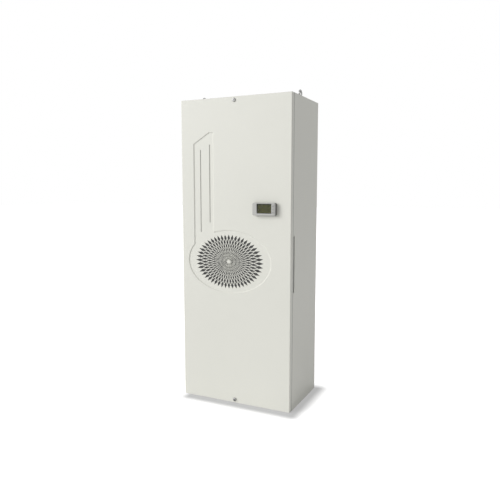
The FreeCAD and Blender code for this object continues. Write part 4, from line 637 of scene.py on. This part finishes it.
WIRE, COLLAR, STEM = 0.0029, 0.008, 0.0040
low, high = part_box("eye_bolts")
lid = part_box("top_panel")[1].z
tip = low.z - lid
ring_outer = (high.y - low.y) / 2
neck = [
    (0, tip), (0.0037, tip), (STEM, tip + 0.0006), (STEM, 0), (0.0078, 0), (COLLAR, 0.0004),
    (COLLAR, 0.0016), (0.0072, 0.0024), (0.0052, 0.0031), (STEM, 0.0040), (0.0034, 0.0052), (0, 0.0062),
]
eyes = bmesh.new()
for x in (low.x + COLLAR, high.x - COLLAR):
    hole = Vector((x, (low.y + high.y) / 2, high.z - ring_outer))
    section = ring_of(hole + UP * (ring_outer - WIRE), RIGHT, UP, WIRE)
    spin(eyes, section, RIGHT, hole, steps=36, closed=True)
    foot = Vector((x, hole.y, lid))
    spin(eyes, [foot + RIGHT * out + UP * rise for out, rise in neck], UP, foot, steps=28)
finish_mesh(eyes)
dress(keep("lifting_eyes", eyes), "zinc_steel", "casing", "eye_bolts")

# %% [markdown]
# A screw with a cross recess.
# The recess is pressed into the head and narrows a little towards its floor. It could be cut out with a
# Boolean, but that leaves untidy faces. Here the head is a spun outline that stops at a flat top. A cross is
# drawn on the flat, the rest of the flat is filled round it, and the cross is sunk.

# %% Cross recess
NARROWING = 0.75


def only(kind, items):
    """The vertices or the edges out of an operator's result."""
    return [item for item in items if isinstance(item, kind)]


def cross_screw(mesh, axle, outline, steps, arm, reach, sunk):
    """A screw that faces the front, from an outline that ends at the rim of its flat top."""
    spin(mesh, [axle + RIGHT * out - REAR * forward for out, forward in outline], REAR, axle, steps)
    bmesh.ops.remove_doubles(mesh, verts=mesh.verts[:], dist=WELD)
    rim = [edge for edge in mesh.edges if edge.is_boundary]
    top = axle - REAR * outline[-1][1]
    cross = []
    for first, second in ((RIGHT, UP), (UP, -RIGHT), (-RIGHT, -UP), (-UP, RIGHT)):
        for out, side in ((reach, -arm), (reach, arm), (arm, arm)):
            cross.append(mesh.verts.new(top + first * out + second * side))
    arms = [mesh.edges.new(pair) for pair in zip(cross, cross[1:] + cross[:1])]
    bmesh.ops.triangle_fill(mesh, edges=rim + arms, use_beauty=True)
    grown = bmesh.ops.extrude_edge_only(mesh, edges=arms)["geom"]
    for corner in only(bmesh.types.BMVert, grown):
        corner.co = top + (corner.co - top) * NARROWING + REAR * sunk
    bmesh.ops.contextual_create(mesh, geom=only(bmesh.types.BMEdge, grown))


print("cross recess ready")

# %% [markdown]
# The cover's screws.
# Two domed screws hold the cover, one above and one below. In the frame they have no recess. It could be an
# image on a flat head, but light and shade in a real one look right from every side. The outline gives
# radius and distance from the wall, from the tip of the thread to the flat top.

# %% Cover screws
THREAD = 0.0030
low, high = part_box("cover_screws")
head = (high.x - low.x) / 2
face = -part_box("front_cover")[0].y
tip = -high.y
dome = [
    (0, tip), (0.0026, tip), (THREAD, tip + 0.0005), (THREAD, face), (head, face), (head, face + 0.0011),
    (0.0061, face + 0.0021), (0.0053, face + 0.0030), (0.0042, face + 0.0036),
]
screws = bmesh.new()
for height in (low.z + head, high.z - head):
    cross_screw(screws, Vector((0, 0, height)), dome, steps=24, arm=0.00085, reach=0.0030, sunk=0.0018)
finish_mesh(screws)
dress(keep("cross_screws", screws), "zinc_steel", "cover", "cover_screws")

# %% [markdown]
# The lid's screws.
# Four small pan-headed screws hold the lid of the electrical box. They could be nodes of the frame, but they
# are small and only looks, so they are made here, by the same function from a smaller outline.

# %% Lid screws
LID_THREAD, LID_HEAD, INSET = 0.0019, 0.0040, 0.008
low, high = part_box("electrical_cover")
face = -low.y
pan = [
    (0, face - 0.006), (LID_THREAD, face - 0.005), (LID_THREAD, face), (LID_HEAD, face),
    (LID_HEAD, face + 0.0010), (0.0034, face + 0.0020), (0.0025, face + 0.0024),
]
lid_screws = bmesh.new()
for x in (low.x + INSET, high.x - INSET):
    for height in (low.z + INSET, high.z - INSET):
        cross_screw(lid_screws, Vector((x, 0, height)), pan, steps=16, arm=0.0005, reach=0.0019, sunk=0.0010)
finish_mesh(lid_screws)
dress(keep("lid_screws", lid_screws), "zinc_steel", "casing")

# %% [markdown]
# The display's figures.
# A liquid crystal display forms its figures from seven bars, lettered from A to G. A text object could write
# the number, but its letters aren't made of bars. Each bar is a thin six-cornered plate that lies on the
# display behind the window. The number is only an example of what such a display may show.

# %% Figures
NUMBER = "246"
BARS = {"2": "ABGED", "4": "FGBC", "6": "AFGEDC"}
TALL, WIDE, THICK, PITCH = 0.0150, 0.0082, 0.0016, 0.0128
BAR_GAP, BAR_RISE, CLEAR = 0.0004, 0.0003, 0.0001
FIGURE_TONES = (0.020, 0.022, 0.010), (0.035, 0.036, 0.018)
low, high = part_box("controller_display")
# For each bar: its side, its level, and whether it stands upright.
places = {
    "A": (0, 1, 0), "G": (0, 0, 0), "D": (0, -1, 0),
    "F": (-1, 0.5, 1), "B": (1, 0.5, 1), "E": (-1, -0.5, 1), "C": (1, -0.5, 1),
}
figures = bmesh.new()
middle = Vector(((low.x + high.x) / 2, low.y - CLEAR, (low.z + high.z) / 2))
for column, number in enumerate(NUMBER):
    centre = middle + RIGHT * ((column - 1) * PITCH)
    for bar in BARS[number]:
        side, level, upright = places[bar]
        spot = centre + RIGHT * (side * WIDE / 2) + UP * (level * TALL / 2)
        run, across, half_run = (UP, RIGHT, TALL / 4) if upright else (RIGHT, UP, WIDE / 2)
        half_run -= BAR_GAP
        shape = [
            (-half_run, 0), (THICK / 2 - half_run, THICK / 2), (half_run - THICK / 2, THICK / 2),
            (half_run, 0), (half_run - THICK / 2, -THICK / 2), (THICK / 2 - half_run, -THICK / 2),
        ]
        plate = figures.faces.new([figures.verts.new(spot + run * out + across * off) for out, off in shape])
        grown = bmesh.ops.extrude_face_region(figures, geom=[plate])["geom"]
        bmesh.ops.translate(figures, verts=only(bmesh.types.BMVert, grown), vec=-REAR * BAR_RISE)
bmesh.ops.recalc_face_normals(figures, faces=figures.faces[:])
numbers = keep("display_figures", figures)
numbers.data.materials.append(moulded("display_figures", FIGURE_TONES, 0.6))
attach(numbers, "cover")
print("figures:", len(numbers.data.polygons), "faces")

# %% [markdown]
# Copper pipes.
# The pipes are drawn copper, bent on a former, so a pipe is a round section carried along straight runs and
# quarter bends. A curve with a round bevel could do it too. Here the section is pushed on from station to
# station, and the stations in a bend lie on its arc, so the bends are true and both ends are closed flat.

# %% A section along a route
BEND, BEND_STEPS = 0.010, 6


def stations(route):
    """Points and directions along a route of corners, with a quarter bend at each corner."""
    corners = [Vector((right, -forward, up)) / 1000 for right, forward, up in route]
    ways = [(after - before).normalized() for before, after in zip(corners, corners[1:])]
    path = [(corners[0], ways[0])]
    for corner, into, out in zip(corners[1:], ways, ways[1:]):
        for step in range(BEND_STEPS + 1):
            turn = math.pi / 2 * step / BEND_STEPS
            spot = corner - into * BEND * (1 - math.sin(turn)) + out * BEND * (1 - math.cos(turn))
            path.append((spot, into * math.cos(turn) + out * math.sin(turn)))
    return path + [(corners[-1], ways[-1])]


def new_ring(mesh, points):
    """A closed row of vertices with its edges and a cap."""
    corners = [mesh.verts.new(point) for point in points]
    mesh.faces.new(corners)
    return corners, [mesh.edges.get(pair) for pair in zip(corners, corners[1:] + corners[:1])]


def pipe(mesh, route, radius):
    """Push a round section along a route, and close both ends."""
    (start, way), *onward = stations(route)
    across = way.orthogonal()
    ring, edges = new_ring(mesh, ring_of(start, across, way.cross(across), radius))
    for spot, way in onward:
        across = (across - way * across.dot(way)).normalized()
        grown = bmesh.ops.extrude_edge_only(mesh, edges=edges)["geom"]
        edges = only(bmesh.types.BMEdge, grown)
        fresh = set(only(bmesh.types.BMVert, grown))
        ring = [
            next(edge.other_vert(corner) for edge in corner.link_edges if edge.other_vert(corner) in fresh)
            for corner in ring
        ]
        for corner, point in zip(ring, ring_of(spot, across, way.cross(across), radius)):
            corner.co = point
    mesh.faces.new(ring)


print("a quarter bend has", BEND_STEPS, "steps")

# %% [markdown]
# The routes.
# Hot gas goes from the compressor to the condenser, liquid to the dryer, then through the thin capillary to
# the evaporator, and cold gas back through the can. Each route is given by its corners as they are in the
# frame: millimetres to the right, forward from the wall, and up, after the tube's radius.

# %% Pipes
ROUTES = {
    "discharge_pipe": (4.3, [(-95, 60, 257), (-95, 60, 305), (-185.7, 60, 305), (-185.7, 60, 593),
                             (-185.7, 122, 593), (-173.5, 122, 593)]),
    "liquid_pipe": (4.3, [(129.5, 122, 365), (141.7, 122, 365), (141.7, 34.5, 365), (141.7, 34.5, 295)]),
    "capillary_tube": (1.5, [(141.7, 34.5, 185), (141.7, 34.5, 155), (179.5, 34.5, 155), (179.5, 34.5, 665),
                             (179.5, 65.5, 665), (151.5, 65.5, 665)]),
    "suction_pipe": (4.3, [(151.5, 65.5, 779), (193, 65.5, 779), (193, 65.5, 305), (6, 65.5, 305),
                           (6, 110, 305), (6, 110, 235)]),
    "accumulator_pipe": (4.3, [(6, 110, 95), (6, 110, 66.5), (-27, 110, 66.5)]),
}
for node, (radius, route) in ROUTES.items():
    tube = bmesh.new()
    pipe(tube, route, radius / 1000)
    finish_mesh(tube)
    dress(keep(f"smooth_{node}", tube), "copper", "casing", node)

# %% [markdown]
# The coils' tubes.
# A coil is one copper tube that runs to and fro through a pack of thin aluminium fins. The tube could follow
# a route as the pipes do, but its bends are plain half circles. So it starts as a ring that is pushed along
# a straight run, spun half round at the end plate, and pushed back again, run after run.

# %% Coil tubes
RETURN, RETURN_STEPS = 0.019, 14
TUBE = 0.0043


def coil_tube(node, plates, turns):
    """A tube between two end plates that turns back so many times."""
    bends_low, bends_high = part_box(node)
    left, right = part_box(plates)[0].x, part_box(plates)[1].x
    height = (bends_low.z + bends_high.z) / 2 - turns * RETURN
    depth = (bends_low.y + bends_high.y) / 2
    tube = bmesh.new()
    edges = new_ring(tube, ring_of(Vector((right, depth, height)), UP, REAR, TUBE))[1]
    for turn in range(turns + 1):
        end, way = (left, -RIGHT) if turn % 2 == 0 else (right, RIGHT)
        run = bmesh.ops.extrude_edge_only(tube, edges=edges)["geom"]
        bmesh.ops.translate(tube, verts=only(bmesh.types.BMVert, run), vec=way * (right - left))
        edges = only(bmesh.types.BMEdge, run)
        if turn < turns:
            centre = (end, depth, height + RETURN)
            axis = REAR if way.x < 0 else -REAR
            bend = bmesh.ops.spin(
                tube, geom=edges, cent=centre, axis=axis, angle=math.pi, steps=RETURN_STEPS
            )
            edges = only(bmesh.types.BMEdge, bend["geom_last"])
            height += 2 * RETURN
    bmesh.ops.contextual_create(tube, geom=edges)
    finish_mesh(tube)
    return tube


for coil, turns in (("condenser", 6), ("evaporator", 3)):
    tube = coil_tube(f"{coil}_bends", f"{coil}_end_plates", turns)
    dress(keep(f"{coil}_tube", tube), "copper", "casing", f"{coil}_bends")

# %% [markdown]
# The fins.
# A fin is a strip of thin aluminium, folded to and fro across the air so that more of it touches. An Array
# modifier could set the fins side by side. Here one strip is pulled up to its height and given its
# thickness, and a spin without any turn does the same as an array, at the fin pitch.

# %% Fins
FIN_PITCH, FIN_GAUGE, FIN_FOLD, FOLDS = 0.0025, 0.00025, 0.0006, 8


def fin_pack(node):
    """Folded fins that fill the box of a coil."""
    low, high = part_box(node)
    fins = bmesh.new()
    step = (high.y - low.y) / FOLDS
    strip_foot = [(low.x + FIN_FOLD * (fold % 2), low.y + step * fold, low.z) for fold in range(FOLDS + 1)]
    corners = [fins.verts.new(point) for point in strip_foot]
    edges = [fins.edges.new(pair) for pair in zip(corners, corners[1:])]
    strip = bmesh.ops.extrude_edge_only(fins, edges=edges)["geom"]
    bmesh.ops.translate(fins, verts=only(bmesh.types.BMVert, strip), vec=UP * (high.z - low.z))
    thick = bmesh.ops.extrude_face_region(fins, geom=fins.faces[:])["geom"]
    bmesh.ops.translate(fins, verts=only(bmesh.types.BMVert, thick), vec=RIGHT * FIN_GAUGE)
    bmesh.ops.recalc_face_normals(fins, faces=fins.faces[:])
    copies = int((high.x - low.x - FIN_FOLD - FIN_GAUGE) / FIN_PITCH)
    bmesh.ops.spin(
        fins, geom=fins.verts[:] + fins.edges[:] + fins.faces[:], axis=UP, dvec=RIGHT * FIN_PITCH, angle=0,
        steps=copies, use_duplicate=True
    )
    return fins


for node in ("condenser_coil", "evaporator_coil"):
    dress(keep(f"{node}_fins", fin_pack(node)), "fin_aluminium", "casing", node)

# %% [markdown]
# The cover's gasket and the seam's shade.
# A strip of black foam lies between the casing's rim and the cover, so that the cover doesn't rattle. From
# outside it is only a dark line along the seam, and that dark strip also stands in for the shade in the gap
# between cover and casing. Four bars could make it, but they would meet in seams at the corners. So one face
# is inset, its middle is taken out, and the rest gets its thickness and rounded edges.

# %% Gasket
cover_low, cover_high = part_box("front_cover")
rim_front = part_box("right_side_panel")[0].y
SHY, STRIP, ROUNDING = 0.00015, 0.004, 0.0002
SQUARE = math.radians(60)
# The dark foam strip is also a stand-in for the shade in the gap between cover and casing.
seam_shade_gasket = bmesh.new()
corners = [
    (cover_low.x + SHY, cover_low.z + SHY), (cover_high.x - SHY, cover_low.z + SHY),
    (cover_high.x - SHY, cover_high.z - SHY), (cover_low.x + SHY, cover_high.z - SHY),
]
plate = seam_shade_gasket.faces.new([seam_shade_gasket.verts.new((x, rim_front, z)) for x, z in corners])
plate.normal_update()
bmesh.ops.inset_region(seam_shade_gasket, faces=[plate], thickness=STRIP, use_boundary=True, use_even_offset=True)
bmesh.ops.delete(seam_shade_gasket, geom=[plate], context="FACES")
thick = bmesh.ops.extrude_face_region(seam_shade_gasket, geom=seam_shade_gasket.faces[:])["geom"]
bmesh.ops.translate(seam_shade_gasket, verts=only(bmesh.types.BMVert, thick), vec=REAR * (cover_high.y - rim_front))
bmesh.ops.recalc_face_normals(seam_shade_gasket, faces=seam_shade_gasket.faces[:])
sharp = [edge for edge in seam_shade_gasket.edges if edge.calc_face_angle(0) > SQUARE]
bmesh.ops.bevel(seam_shade_gasket, geom=sharp, offset=ROUNDING, affect="EDGES", segments=2, profile=0.5, material=-1)
finish_mesh(seam_shade_gasket)
dress(keep("cover_gasket_seam_shade", seam_shade_gasket), "foam", "casing")
print("seam", round(1000 * (rim_front - cover_high.y), 2), "mm")

# %% [markdown]
# Last, the size.
# The looks may not change the object's size. It could be checked by eye, but numbers are surer, so the box
# of the dressed unit is measured here, as that of the frame was at the start.

# %% Size
low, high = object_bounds()
